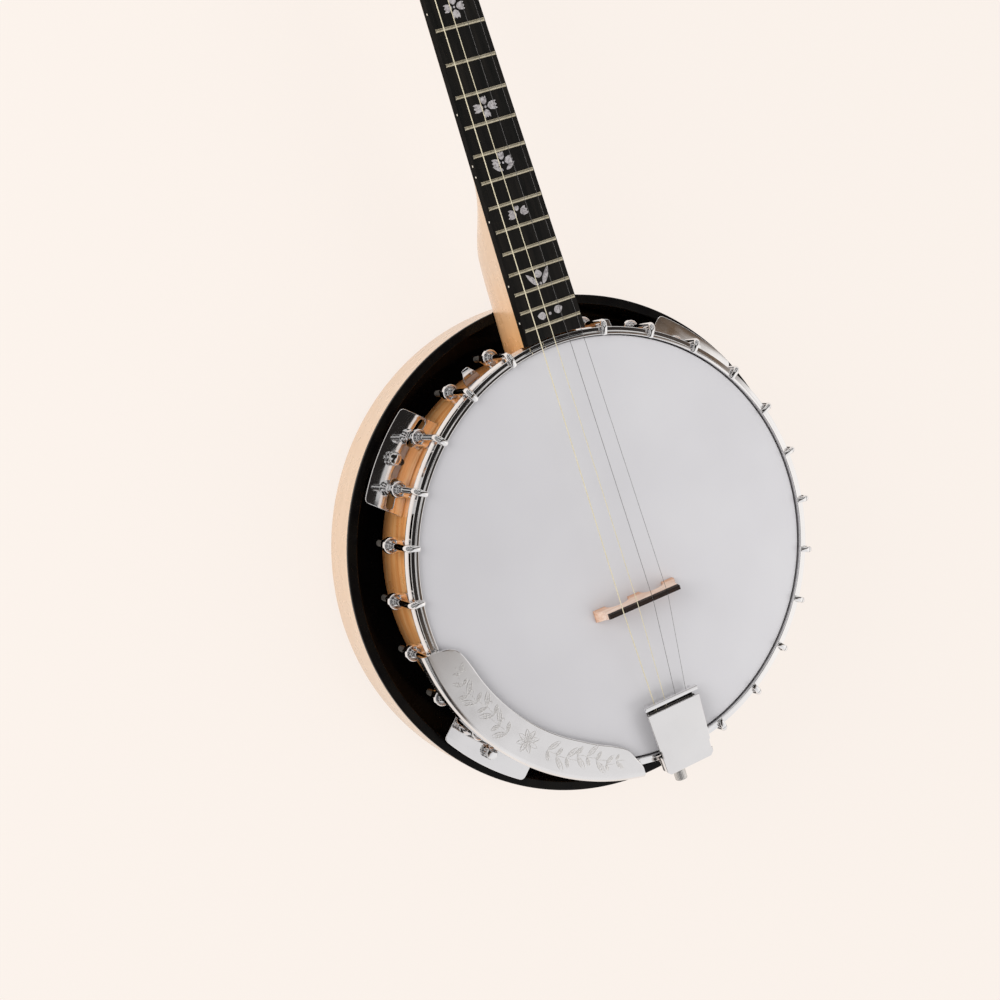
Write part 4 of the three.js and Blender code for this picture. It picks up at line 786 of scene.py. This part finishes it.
def bridge_pieces():
    """Maple base with three feet and two arches, ebony cap with four notches."""
    middle, reach = (ARCH_FROM + ARCH_TO) / 2, (ARCH_TO - ARCH_FROM) / 2
    split = BRIDGE_HIGH - CAP_HIGH
    side = [(BRIDGE_HALF, 0.0), (BRIDGE_HALF, 2.6), (BRIDGE_HALF - 1.0, 4.2)]
    for a in sweep(QUARTER, 5):
        side.append((CAP_HALF + 1.4 * (1 - math.sin(a)), 5.8 + (split - 9.3) * (1 - math.cos(a))))
    side.append((CAP_HALF, split))
    outline = side + mirrored(side)
    for centre in (-middle, middle):
        for a in sweep(HALF_TURN, 16):
            outline.append((centre - reach * math.cos(a), ARCH_HIGH * math.sin(a) ** 0.7))
    base = slab(outline, -1, 1, "bridge_maple", edge=0.06, steps=1)
    cap_side = [(CAP_HALF, split - 0.02), (CAP_HALF, BRIDGE_HIGH)]
    cap_line = cap_side + notches(AT_BRIDGE, BRIDGE_HIGH, BRIDGE_HIGH - 0.8) + mirrored(cap_side)
    cap = slab(cap_line, -1, 1, "cap_ebony", edge=0.06, steps=1)
    made = []
    for points, faces, finishes in (base, cap):
        # Upright, then thinned towards the strings
        x, z, across = points[:, 0], points[:, 1], points[:, 2]
        y = across * mix(BRIDGE_FOOT_THICK, BRIDGE_TOP_THICK, np.clip(z / BRIDGE_HIGH, 0, 1)) / 2
        made.append((np.stack((x, y + BRIDGE_Y, z + BRIDGE_BASE), 1), faces, finishes))
    return made


piece("bridge_wood", bridge_pieces(), "maple", "bridge", smooth=30)


# Neck and headstock
def headstock_outline():
    """The headstock's outline, each side of three soft curves."""
    long, half, tip, nut_half = HEADSTOCK_LONG, HEADSTOCK_HALF, HEADSTOCK_TIP, board_half(NUT_Y)
    curves = [
        ((nut_half, 0), (nut_half, long * 0.1), (half, long * 0.06), (half, long * 0.22)),
        ((half, long * 0.22), (half, long * 0.5), (tip * 0.9, long * 0.6), (tip, long * 0.88)),
        ((tip, long * 0.88), (tip * 0.7, long * 0.9), (tip * 0.35, long * 0.94), (0, long)),
    ]
    side = []
    for a, b, c, d in curves:
        for t in sweep(1, 24):
            weights = ((1 - t) ** 3, 3 * t * (1 - t) ** 2, 3 * t * t * (1 - t), t ** 3)
            side.append(tuple(sum(w * p[i] for w, p in zip(weights, (a, b, c, d))) for i in (0, 1)))
    return spaced(side + mirrored(side)[1:], 0.2)


plank = moved(slab(headstock_outline(), -HEADSTOCK_THICK, 0, "maple_long", edge=1.0, steps=3,
                   holes=[circle(x, y, TUNER_HOLE) for x, y in TUNERS]), HEADSTOCK)
stations = [*np.linspace(-13.8, 50, 12), *np.linspace(54, 112, 24), *np.linspace(122, NUT_Y - 6, 22),
            NUT_Y - 0.25, NUT_Y - 0.1, NUT_Y + 5, NUT_Y + 11.5]
neck_loft = moved(loft([neck_ring(y) for y in stations], "maple_long"), NECK)
pot_top, pot_out = HOOP_BOTTOM - 0.3, 147.8
pot_room = [(0, -2), (FIT_RADIUS, -2), (FIT_RADIUS, pot_top), (pot_out, pot_top), (pot_out, 104), (0, 104)]
pot_room = lathe(pot_room, "maple_long", 256)
rod_room = moved(bar(ROD_BORE, 100, 158, "maple_long"), ROD_PLACE)
nut_room = moved(brick(-31, 31, NUT_Y - 0.3, NUT_Y + NUT_LONG + 0.3, -BOARD_THICK - GLUE, 8, "maple_long",
                       edge=0.01), NECK)
neck = combine(neck_loft, (CUT, pot_room), (CUT, rod_room), (JOIN, plank), (CUT, nut_room))
to_headstock = HEADSTOCK.inverted()


def neck_paint(centre, normal):
    """Black on the headstock's face, maple elsewhere."""
    local = to_headstock @ centre
    return 1 if local.y > 1.0 and local.z > -0.6 and normal.z > 0.7 else 0


piece("neck_wood", neck, "maple", "neck", paint=(("maple_long", "black_lacquer"), neck_paint))

# Fingerboard, its side faces duller and painted darker as shade, with frets, inlays and side dots
far = NUT_Y - 0.3
across = np.linspace(-21.54, 21.54, 25)
board_line = [(x, math.sqrt(BOARD_END_RADIUS ** 2 - x * x) - BOARD_END_Y) for x in across]
board_line += [(board_half(far), far), (-board_half(far), far)]
points, faces, finishes = slab(board_line, -BOARD_SIDE, 0, "ebony", edge=0.5)
# Faces that are not turned up get the darker, duller ebony: painted shade on the board's sides
for k, face in enumerate(faces):
    corner = points[list(face)]
    across = np.cross(corner[1] - corner[0], corner[2] - corner[0])
    if abs(across[2]) < 0.7 * np.linalg.norm(across):
        finishes[k] = "ebony_side_painted_shade"
board = [(points, faces, finishes)]
fret_y = [NUT_Y - SCALE * (1 - 2 ** (-n / 12)) for n in range(1, FRETS + 1)]
crown = [(-1.25, -0.1), (1.25, -0.1), (1.1, 0.45), (0.55, 0.9), (0, 1.0), (-0.55, 0.9), (-1.1, 0.45)]
for y in fret_y:
    half = board_half(y) - FRET_ROOM
    rings = []
    for x, height in ((-half, 0.55), (-half + 0.8, 1.0), (half - 0.8, 1.0), (half, 0.55)):
        rings.append([(x, y + a, b * height if b > 0 else b) for a, b in crown])
    board.append(loft(rings, "fret_wire"))


def laid(x, y, degrees, loop):
    """An outline turned clockwise and moved to a place."""
    c, s = math.cos(math.radians(degrees)), math.sin(math.radians(degrees))
    return [(x + a * c + b * s, y - a * s + b * c) for a, b in loop]


def petal(x, y, long, wide, degrees):
    """A pointed leaf from its stem outward."""
    line = []
    for t in sweep(1, 13):
        half = wide / 2 * math.sin(math.pi * t ** 0.8) ** 0.8 if 0 < t < 1 else 0.05
        line.append((half, t * long))
    loop = spaced(laid(x, y, degrees, line + mirrored(line)), 0.05)
    return loop[:-1] if math.dist(loop[-1], loop[0]) < 0.05 else loop


def tulip(x, y, long, wide, degrees, out=1.6):
    """A flower head with three points, its stem end a little way out from a place."""
    w = wide / 2
    side = [(0.4, out), (0.8 * w, 0.22 * long + out), (w, 0.58 * long + out), (0.86 * w, long + out),
            (0.42 * w, 0.7 * long + out)]
    return rounded(laid(x, y, degrees, side + [(0, 0.96 * long + out)] + mirrored(side)), 0.5, 2)


def between(n):
    """The middle of the space behind fret n."""
    return (fret_y[n - 1] + (fret_y[n - 2] if n > 1 else NUT_Y)) / 2


def inlay_outlines():
    """Flowers, tulips and leaves between the frets, from the pot to the nut."""
    y = between(19)
    made = [petal(-3.0, y - 0.4, 6.0, 5.0, -80), petal(3.6, y + 0.3, 6.4, 5.2, 75), circle(0.2, y, 1.0, 16)]
    y = between(17)
    made += [petal(-1.5, y - 5.0, 11.0, 3.4, -38), petal(2.0, y - 5.0, 12.0, 3.4, 32),
             petal(0.2, y - 0.5, 5.5, 5.5, 0), circle(0.3, y - 4.2, 0.9, 16)]
    y = between(14)
    made += [tulip(0, y - 1.0, 6.4, 6.0, -78), tulip(0, y - 1.0, 6.0, 5.6, 70), tulip(-0.4, y, 3.6, 3.2, 0)]
    y = between(12)
    made += [tulip(0, y + 0.8, 6.4, 5.4, -86), tulip(0, y + 0.8, 6.4, 5.4, 86),
             tulip(0, y + 0.8, 5.6, 4.6, 0), petal(-1.0, y - 4.4, 7.6, 2.6, -60),
             petal(1.4, y - 4.4, 7.6, 2.6, 60), circle(0.2, y + 0.4, 0.7, 14)]
    y = between(10)
    made += [tulip(0, y, 7.2, 5.6, a) for a in (-90, 90)] + [tulip(0, y, 5.6, 4.4, a) for a in (0, 180)]
    made.append(circle(0, y, 0.8, 16))
    y = between(7)
    made += [tulip(0, y, 6.0, 5.2, a) for a in (0, 90, 180, 270)] + [circle(0, y, 0.7, 14)]
    y = between(5)
    made += [petal(-1.0, y, 7.5, 5.0, -90), petal(1.0, y, 7.5, 5.0, 90),
             circle(0, y + 3.2, 0.9, 16), circle(0, y - 3.2, 0.9, 16)]
    y = between(3)
    made += [petal(0, y + 0.8, 8.0, 5.4, 0), petal(0, y - 0.8, 8.0, 5.4, 180),
             petal(-1.2, y, 5.0, 3.2, -90), petal(1.2, y, 5.0, 3.2, 90)]
    return made


inlays = [slab(outline, -0.6, 0.05, "pearl", edge=0.02, steps=1) for outline in inlay_outlines()]
dot = bar(0.7, 0, 0.5, "bone", 20, (0, 0.1))
side_dots = []
for n in (3, 5, 7, 10, 12, 14, 17, 19):
    middle = between(n)
    for y in (middle - 3.5, middle + 3.5) if n == 12 else (middle,):
        side_dots.append(moved(dot, shift(-board_half(y) + 0.42, y, -2.6) @ TO_THE_LEFT))
piece("fingerboard_wood", [moved(s, NECK) for s in board], "ebony", "fingerboard")
piece("fingerboard_inlays", [moved(s, NECK) for s in inlays], "bone")
piece("fingerboard_side_dots", [moved(s, NECK) for s in side_dots], "bone")

# Nut with four slots
nut_side = [(board_half(NUT_Y), -BOARD_THICK), (board_half(NUT_Y), NUT_HIGH)]
nut_line = nut_side + notches(AT_NUT, NUT_HIGH, NUT_SLOT) + mirrored(nut_side)
nut = slab(nut_line, 0, NUT_LONG, "bone", edge=0.25)
piece("nut_bone", [moved(nut, NECK @ shift(0, NUT_Y + NUT_LONG, 0) @ UPRIGHT)], "bone", "nut")

# Tuners: hexagonal ferrule, washer and bushing, housing behind, post with an oval button
bore = [circle(0, 0, BUSHING_BORE)]
ferrule = slab(rounded(circle(0, 0, WASHER_WIDE, 6), 0.8, 3), 0.9, 3.2, "chrome", holes=bore, edge=0.6)
washer = slab(circle(0, 0, WASHER_WIDE, 40), 0.3, 1.0, "chrome", holes=bore, edge=0.2)
bushing = spun(corners(BUSHING_BORE, BUSHING_RADIUS, -14.0, 0.6), 0.2, "chrome")
case = spun([(BUSHING_BORE, -13.8), (9.0, -13.8), (9.0, -18.6), (8.0, -19.6), (6.2, -20.4),
             (BUSHING_RADIUS, -23.8), (BUSHING_BORE, -23.8)],
            [0.2, 0.8, 0.8, 0.6, 1.4, 0.5, 0.2], "chrome", 48, 3)
post = spun([(0, -36), (POST_RADIUS, -36), (POST_RADIUS, 3.5), (2.75, 5.0), (2.75, 9.6), (POST_RADIUS, 11.2),
             (3.9, 11.4), (3.9, 12.6), (3.2, 13.0), (0, 13.0)],
            [0, 0.4, 0.3, 0.8, 0.8, 0.3, 0.3, 0.3, 0.3, 0], "chrome", 40, 3)
button = rounded([(0, 0), (3.4, 0.0), (4.5, -0.6), (8.55, -4.65), (9.0, -9.3), (6.3, -14.3), (2.5, -15.5),
                  (0, -15.5)], [0, 0.5, 2, 2, 3, 2, 1, 0])
button = lathe(button, "chrome_sheet", 40, scale=(1, BUTTON_FLATTENED))
housing, post_and_button = [ferrule, washer, bushing, case], [post, moved(button, shift(0, 0, BUTTON_AT))]
for k, (x, y) in enumerate(TUNERS):
    place = HEADSTOCK @ shift(x, y, 0)
    piece(f"tuner_case_{k + 1}", [moved(s, place) for s in housing], "chrome", f"tuner_housing_{k + 1}")
    piece(f"tuner_post_{k + 1}", [moved(s, place) for s in post_and_button], "chrome",
          f"tuner_post_and_button_{k + 1}", body=f"tuner_{k + 1}")


# Strings
def string_points(index):
    """A loop round the pin, then over bridge and nut, and turns on the post."""
    radius, offset = STRINGS[index] / 2, index - 1.5
    pin_x, tail_z, loop = offset * AT_TAIL, TAIL_BASE + TAIL_SHEET + 1.2, PIN_RADIUS + radius + STRING_ROOM
    points = [(pin_x - loop * math.cos(a), PIN_Y - loop * math.sin(a), tail_z) for a in sweep(HALF_TURN, 12)]
    points.append((pin_x + loop, LIP_Y, tail_z))
    z = BRIDGE_BASE + BRIDGE_HIGH - 0.9 + STRING_ROOM + radius
    points += [(offset * AT_BRIDGE, BRIDGE_Y - 1.7, z), (offset * AT_BRIDGE, BRIDGE_Y + 1.7, z)]
    nut_z = NUT_SLOT + STRING_ROOM + radius
    near = NECK @ Vector((offset * AT_NUT, NUT_Y, nut_z))
    over = NECK @ Vector((offset * AT_NUT, NUT_Y + NUT_LONG, nut_z))
    points += [tuple(near), tuple(over)]
    # The string meets the post along a tangent
    x, y = TUNERS[index]
    start = to_headstock @ over
    back_x, back_y = start.x - x, start.y - y
    wound, sense = POST_RADIUS + STRING_ROOM + radius, (1 if x < 0 else -1)
    first = math.atan2(back_y, back_x) + sense * math.acos(wound / math.hypot(back_x, back_y))
    steps = WINDS * WIND_STEPS
    for k in range(steps + 1):
        turn = first + sense * TURN * k / WIND_STEPS
        high = 5.0 + (2 * radius + 0.55) * (steps - k) / WIND_STEPS
        at = Vector((x + wound * math.cos(turn), y + wound * math.sin(turn), high))
        points.append(tuple(HEADSTOCK @ at))
    return points


for i, diameter in enumerate(STRINGS):
    finish, share, slot = ("bronze_wound", 0.34, "bronze") if i < 2 else ("string_steel", 0.29, "steel")
    wire = tube(string_points(i), share * diameter, finish)
    piece(f"string_{i + 1}_wire", [wire], slot, f"string_{i + 1}", smooth=80)


# Tailpiece
def tail_half(y):
    return mix(TAIL_FRONT_HALF, TAIL_REAR_HALF, (y - TAIL_FRONT) / (TAIL_REAR - TAIL_FRONT))


def cheeks(near, rear, narrow=2.9, wide=0.6, cut=2.4, step=-143.0):
    """The bracket's plan: narrow in front of a step in each side, wide behind it."""
    side = [(tail_half(near) - narrow, near), (tail_half(step) - narrow, step)]
    side += [(tail_half(step) - wide, step), (tail_half(rear) - wide, rear + cut)]
    side.append((tail_half(rear) - wide - cut, rear))
    return [(-x, y) for x, y in side] + side[::-1]


# Bracket: tray, low and high walls, front bar on two feet, leg at the rear, a pin for each string
tray_front, base_top, wall_top = TAIL_FRONT - 2.6, TAIL_BASE + TAIL_SHEET, TAIL_TOP - TAIL_SHEET - 0.3
bracket = [slab(cheeks(tray_front, TAIL_REAR), TAIL_BASE, base_top, "chrome_sheet", edge=0.3)]
for near, low, high, finish in ((tray_front, TAIL_BASE + 0.3, 102.0, "steel_dark"),
                                (HINGE_Y - 1.7, 101.0, wall_top, "chrome")):
    inside = cheeks(near, TAIL_REAR + TAIL_SHEET, 2.9 + TAIL_SHEET, 0.6 + TAIL_SHEET)
    bracket.append(slab(cheeks(near, TAIL_REAR) + inside[::-1], low, high, finish, edge=0.25))
for x0, x1, low, high, edge in ((-TAIL_FRONT_HALF, TAIL_FRONT_HALF, base_top + 2.9, TAIL_TOP, 0.5),
                                (-18.2, -17.0, base_top - 0.4, base_top + 3.4, 0.2),
                                (17.0, 18.2, base_top - 0.4, base_top + 3.4, 0.2)):
    bracket.append(brick(x0, x1, LIP_Y, TAIL_FRONT, low, high, "chrome", edge))
leg = slab(rounded(corners(-9, 9, 41, 99.4), [4, 4, 0.2, 0.2]), 0, TAIL_SHEET, "chrome_sheet", edge=0.3,
           holes=[circle(0, ROD_Z, ROD_BORE), circle(0, TENSION_Z, 2.3)])
bracket.append(moved(leg, shift(0, TAIL_REAR + TAIL_SHEET, 0) @ UPRIGHT))
pin_base, pin_top = TAIL_BASE + 0.6, base_top + 2.8
pin = spun([(0, pin_base), (PIN_RADIUS, pin_base), (PIN_RADIUS, pin_top - 0.4), (1.5, pin_top - 0.3),
            (1.4, pin_top), (0, pin_top)], [0, 0, 0.2, 0.1, 0.2, 0], "chrome", 24, 3)
bracket += [moved(pin, shift((i - 1.5) * AT_TAIL, PIN_Y, 0)) for i in range(len(STRINGS))]
piece("tailpiece_bracket_chrome", bracket, "chrome", "tailpiece_bracket")

# Cover: as wide as the bar, a shallow notch in each side near its rear corners, the hinge barrel below
front, rear_half = HINGE_Y + 0.65, tail_half(TAIL_REAR)
rear_corner = [(rear_half - COVER_CUT, TAIL_REAR), (rear_half, TAIL_REAR + COVER_CUT)]
notch_depths = (0, COVER_NOTCH, COVER_NOTCH, 0)
plan = [(-tail_half(front), front)]
plan += [(deep - tail_half(y), y) for y, deep in zip((-137.0, -137.5, -142.5, -143.0), notch_depths)]
plan += mirrored(rear_corner) + rear_corner
plan += [(tail_half(y) - deep, y) for y, deep in zip((-150.0, -149.5, -144.5, -144.0), notch_depths)]
plan.append((tail_half(front), front))
plan = rounded(plan, [0.4, *[0.2] * 4, *[0.8] * 4, *[0.2] * 4, 0.4], 3)
cover = [slab(plan, TAIL_TOP - TAIL_SHEET, TAIL_TOP, "chrome_sheet", edge=0.4, steps=4)]
inner_half = tail_half(HINGE_Y) - 2.5
barrel = bar(1.3, -inner_half, inner_half, "steel_dark", 24, (0.2, 0.2))
hinge_pin = bar(0.9, -18.6, 18.6, "steel", 20, (0.3, 0.3))
cover += [moved(s, shift(0, HINGE_Y, HINGE_Z) @ ALONG_X) for s in (barrel, hinge_pin)]
cover.append(brick(-inner_half, inner_half, HINGE_Y - 1.25, front, HINGE_Z, TAIL_TOP - 0.6, "steel_dark",
                   0.2))
piece("tailpiece_cover_chrome", cover, "chrome", "tailpiece_cover", body="tailpiece_cover")

# Tension nut: knob with a knurled band, and its screw
knob = [(0, -170.8), (3.2, -170.8), (3.6, -169.4), (3.6, -159.8), (2.0, -159.8), (2.0, -147.8), (0, -147.8)]
screw = [spun(knob, [0, 0.8, 0.6, 0.6, 0.1, 0.3, 0], "chrome", 40, 3),
         slab(knurled(4.25, 4.12, 112), -170.7, -160.6, "steel", edge=0.8, steps=3)]
piece("tension_nut_chrome", [moved(s, shift(0, 0, TENSION_Z) @ ALONG_Y) for s in screw], "chrome",
      "tailpiece_tension_nut", body="tailpiece_tension_nut")


# Armrest: a sheet over the hoop with a skirt outside, its inner edge curved in at the ends
def rest_inner(share):
    """The plan's inner edge at a share of the sweep, as a share of the width."""
    line = [(0, 0.8), (0.002, 0.68), (0.004, 0.59), (0.01, 0.4), (0.018, 0.263), (0.03, 0.16), (0.051, 0.084),
            (0.075, 0.04), (0.1, 0.015), (0.13, 0), (0.72, 0), (0.796, 0.035), (0.86, 0.066), (0.911, 0.134),
            (0.93, 0.195), (0.946, 0.271), (0.967, 0.439), (0.986, 0.595), (0.9935, 0.68), (0.997, 0.744),
            (0.9986, 0.86), (1.0, 0.98)]
    return float(np.interp(share, [a for a, b in line], [b for a, b in line]))


def rest_shell():
    spans = [(0, 0.03, 25), (0.03, 0.16, 27), (0.16, 0.84, 70), (0.84, 0.96, 25), (0.96, 1, 31)]
    flat_end, skirt_in = REST_OUT - REST_SHOULDER, REST_OUT - REST_SHEET
    rings = []
    for share in np.unique(np.concatenate([np.linspace(*span) for span in spans])):
        angle = mix(REST_FROM, REST_TO, share)
        start = min(REST_OUT - REST_WIDE * (1 - rest_inner(share)), flat_end - 0.6)
        soft = min(REST_EDGE, (flat_end - start) * 0.4)
        section = [(start, REST_UNDER - 0.9), (start + 0.1, REST_UNDER)]
        for a in sweep(QUARTER, 5):
            radius = start + soft * (1 - math.cos(a)) + 0.15
            section.append((radius, REST_TOP - REST_DROP * (1 - math.sin(a))))
        section += [(mix(start + soft, flat_end, t), REST_TOP) for t in sweep(1, 6)[1:]]
        for a in sweep(QUARTER, 7)[1:]:
            radius = flat_end + REST_SHOULDER * math.sin(a)
            section.append((radius, REST_TOP - REST_SHOULDER * (1 - math.cos(a))))
        section += [(REST_OUT, 93.5), (REST_OUT, SKIRT_LOW + 0.4), (REST_OUT - 0.3, SKIRT_LOW),
                    (skirt_in + 0.3, SKIRT_LOW), (skirt_in, SKIRT_LOW + 0.4), (skirt_in, 97.6)]
        for a in sweep(QUARTER, 5):
            radius = flat_end - 0.3 + (REST_SHOULDER - REST_SHEET) * math.cos(a)
            section.append((radius, 98.2 + 2.0 * math.sin(a)))
        section += [(start + soft, REST_UNDER), (start + 0.6, REST_UNDER - 0.8)]
        rings.append([(*polar(r, angle), z) for r, z in section])
    return loft(rings, "chrome_sheet")


def stroke(line, width, height=0.045):
    """A cut mark on the armrest's top, of (angle, radius) points: a low ridge that tapers to both ends."""
    path = np.array(line, float)
    last = len(path) - 1
    rings = []
    for i, point in enumerate(path):
        along = unit(path[min(i + 1, last)] - path[max(i - 1, 0)])
        side = np.array((-along[1], along[0]))
        half = 0.4 * width * max(0.06, math.sin(math.pi * i / last) ** 0.7)
        a, b = point - side * half, point + side * half
        section = ((a, -0.1), (a, 0.0), (point, height), (b, 0.0), (b, -0.1))
        rings.append([(*polar(radius, angle), REST_TOP + z) for (angle, radius), z in section])
    return loft(rings, "chrome_cut")


def curl(angle, radius, long, bending, heading, width, steps=12):
    """A curved mark from a place on the armrest: heading in degrees from the direction of the sweep."""
    points, turn = [], math.radians(heading)
    x, y = 0.0, 0.0
    for k in range(steps + 1):
        points.append((angle - x * DEGREES_PER_MM, radius + y))
        x += long / steps * math.cos(turn)
        y += long / steps * math.sin(turn)
        turn += math.radians(bending) / steps
    return stroke(points, width)


def leaf_marks(angle, radius, heading, long):
    """A cut leaf from its stem: both edges, a midrib and short veins."""
    made = [curl(angle, radius, long * 1.06, -swing * 2.1, heading + swing, 0.62) for swing in (-27, 27)]
    made.append(curl(angle, radius, long * 0.84, 0, heading, 0.5))
    turn = math.radians(heading)
    for k in (1, 2, 3):
        at = long * 0.2 * k
        vein_angle, vein_radius = angle - at * math.cos(turn) * DEGREES_PER_MM, radius + at * math.sin(turn)
        for swing in (-38, 38):
            made.append(curl(vein_angle, vein_radius, long * (0.26 - 0.04 * k), 0, heading + swing, 0.34))
    return made


def engraving():
    """A flower in the middle of the armrest and a leafy stem to each side of it."""
    made = []
    centre, radius = mix(REST_FROM, REST_TO, 0.5), ENGRAVED_RADIUS
    for k in range(8):
        heading = 45 * k + 12
        made += [curl(centre, radius, 9.0, -swing * 2.2, heading + swing, 0.7) for swing in (-33, 33)]
        made.append(curl(centre, radius, 5.6, 0, heading, 0.5))
    for side, forward, phase in ((-1, 180, 1.4), (1, 0, 0)):
        for k in range(8):
            angle = mix(REST_FROM, REST_TO, 0.5 + side * (0.088 + 0.042 * k))
            r = radius + 2.2 * math.sin(k * 1.3 + phase)
            flip = 1 if k % 2 else -1
            size = 1.0 if k < 6 else 0.7
            made.append(curl(angle, r, 9.4 * size, flip * 30, forward - flip * 14, 0.6))
            made += leaf_marks(angle, r, forward + flip * 47, 11.0 * size)
            made += leaf_marks(angle, r, forward - flip * 66, 7.2 * size)
            if k % 2:
                made.append(curl(angle, r - flip * 3.0, 5.2 * size, 300, forward, 0.5, 14))
    return made


piece("armrest_chrome", [rest_shell()], "chrome", "armrest", smooth=32)
piece("armrest_engraving", engraving(), "chrome")

# Camera, where the photograph was taken from
camera = bpy.data.cameras.new("camera")
camera.sensor_width = 36
camera.lens = 53.96
camera.clip_start, camera.clip_end = 0.01, 50
eye = placed("camera", camera)
right = Vector((0.8689, -0.2991, 0.3943))
down = Vector((-0.3416, -0.9390, 0.0406))
ahead = Vector((0.3581, -0.1700, -0.9181))
facing = Matrix((right, -down, -ahead)).transposed().to_4x4()
eye.matrix_world = shift(-0.41346, 0.22294, 0.97596) @ facing
bpy.context.scene.camera = eye

# Floor, lamps and surroundings
CREAM = (0.975, 0.900, 0.840)
FLOOR_RADIUS, FLOOR_Z = 6, -0.0004


def seen_share(tree):
    """1 for camera, glossy and transmission rays, 0 for the others."""
    rays = node(tree, "LightPath", out=None)
    seen = reckon(tree, "MAXIMUM", rays["Is Camera Ray"], rays["Is Glossy Ray"])
    return reckon(tree, "MAXIMUM", seen, rays["Is Transmission Ray"])


floor_mesh = bpy.data.meshes.new("floor")
floor_edge = [(x, y, FLOOR_Z) for x, y in circle(0, 0, FLOOR_RADIUS, 64)]
floor_mesh.from_pydata(floor_edge, [], [tuple(range(len(floor_edge)))])
floor = placed("floor", floor_mesh)
# Seen by the camera or in a mirror, the paper mostly glows in the background's colour but keeps its shadows
floor_finish = bpy.data.materials.new("floor_paper")
floor_finish.use_nodes = True
tree = floor_finish.node_tree
paper = tree.nodes["Principled BSDF"]
for key, value in (("Base Color", (0.90, 0.83, 0.775)), ("Roughness", 0.9), ("Specular IOR Level", 0.1)):
    feed(tree, paper.inputs[key], value)
glow = node(tree, "Emission", {"Color": CREAM, "Strength": 1.0})
share = reckon(tree, "MULTIPLY", seen_share(tree), 0.86)
both = node(tree, "MixShader", {0: share, 1: paper.outputs[0], 2: glow})
feed(tree, tree.nodes["Material Output"].inputs["Surface"], both)
floor_mesh.materials.append(floor_finish)

world = bpy.data.worlds.new("studio")
bpy.context.scene.world = world
world.use_nodes = True
tree = world.node_tree
place = node(tree, "TexCoord", out="Generated")
toward = node(tree, "SeparateXYZ", {0: place}, None)
# What metal sees: a slanting ceiling, dark over the headstock's side and light over the tail's side
lean = reckon(tree, "MULTIPLY", toward["X"], 0.9)
slant = reckon(tree, "MULTIPLY_ADD", toward["Y"], -1.6, lean)
drift = spread(tree, noise(tree, place, 5.0, 2.0), 0.3, 0.7, -0.06, 0.06)
shifted = reckon(tree, "ADD", slant, drift)
ceiling = ramp(tree, shifted, [(0.45, (0.018, 0.016, 0.015)), (0.55, (0.075, 0.062, 0.054)),
                               (0.60, (0.17, 0.115, 0.075)), (0.66, (0.50, 0.485, 0.475)),
                               (0.74, (0.76, 0.75, 0.755)), (1.0, (0.90, 0.89, 0.89))])
# Bands of light overhead and on the headstock's side
waves = node(tree, "TexWave", {"Vector": place, "Scale": 1.0, "Distortion": 2.0, "Detail": 1.0}, "Fac",
             bands_direction="DIAGONAL")
bands = ramp(tree, waves, [(0.40, (0.02, 0.018, 0.017)), (0.62, (0.66, 0.65, 0.64))])
banded = blend(tree, ramp(tree, shifted, [(0.22, WHITE), (0.34, BLACK)]), ceiling, bands)
# A bright window to the right, and a pale horizon all round
window = spread(tree, toward["Y"], -0.10, -0.12)
window = reckon(tree, "MULTIPLY", spread(tree, toward["X"], 0.44, 0.48), window)
lit = blend(tree, window, banded, (1.06, 1.03, 1.0))
low = ramp(tree, toward["Z"], [(0.14, WHITE), (0.40, BLACK)])
mirror_sky = blend(tree, low, lit, (0.96, 0.92, 0.89))
# Metal sees all this, the eye sees the background's colour, and other light is an even grey
rays = node(tree, "LightPath", out=None)
for_metal = blend(tree, rays["Is Glossy Ray"], (0.66, 0.66, 0.67), mirror_sky)
for_eye = blend(tree, rays["Is Camera Ray"], for_metal, CREAM)
for key, value in (("Color", for_eye), ("Strength", 1.0)):
    feed(tree, tree.nodes["Background"].inputs[key], value)


def lamp(name, place, aim, size, watts):
    light = bpy.data.lights.new(name, "AREA")
    light.shape, light.size, light.energy = "SQUARE", size, watts
    obj = placed(name, light)
    obj.location = place
    obj.rotation_mode = "QUATERNION"
    obj.rotation_quaternion = (Vector(aim) - Vector(place)).to_track_quat("-Z", "Y")
    obj.visible_glossy = False


lamp("key", (-1.5, 0.9, 1.0), (0, 0, 0.05), 1.2, 18)
lamp("fill", (1.2, -0.9, 1.8), (0, 0, 0.05), 1.4, 12)

bpy.context.scene.view_settings.view_transform = "Standard"
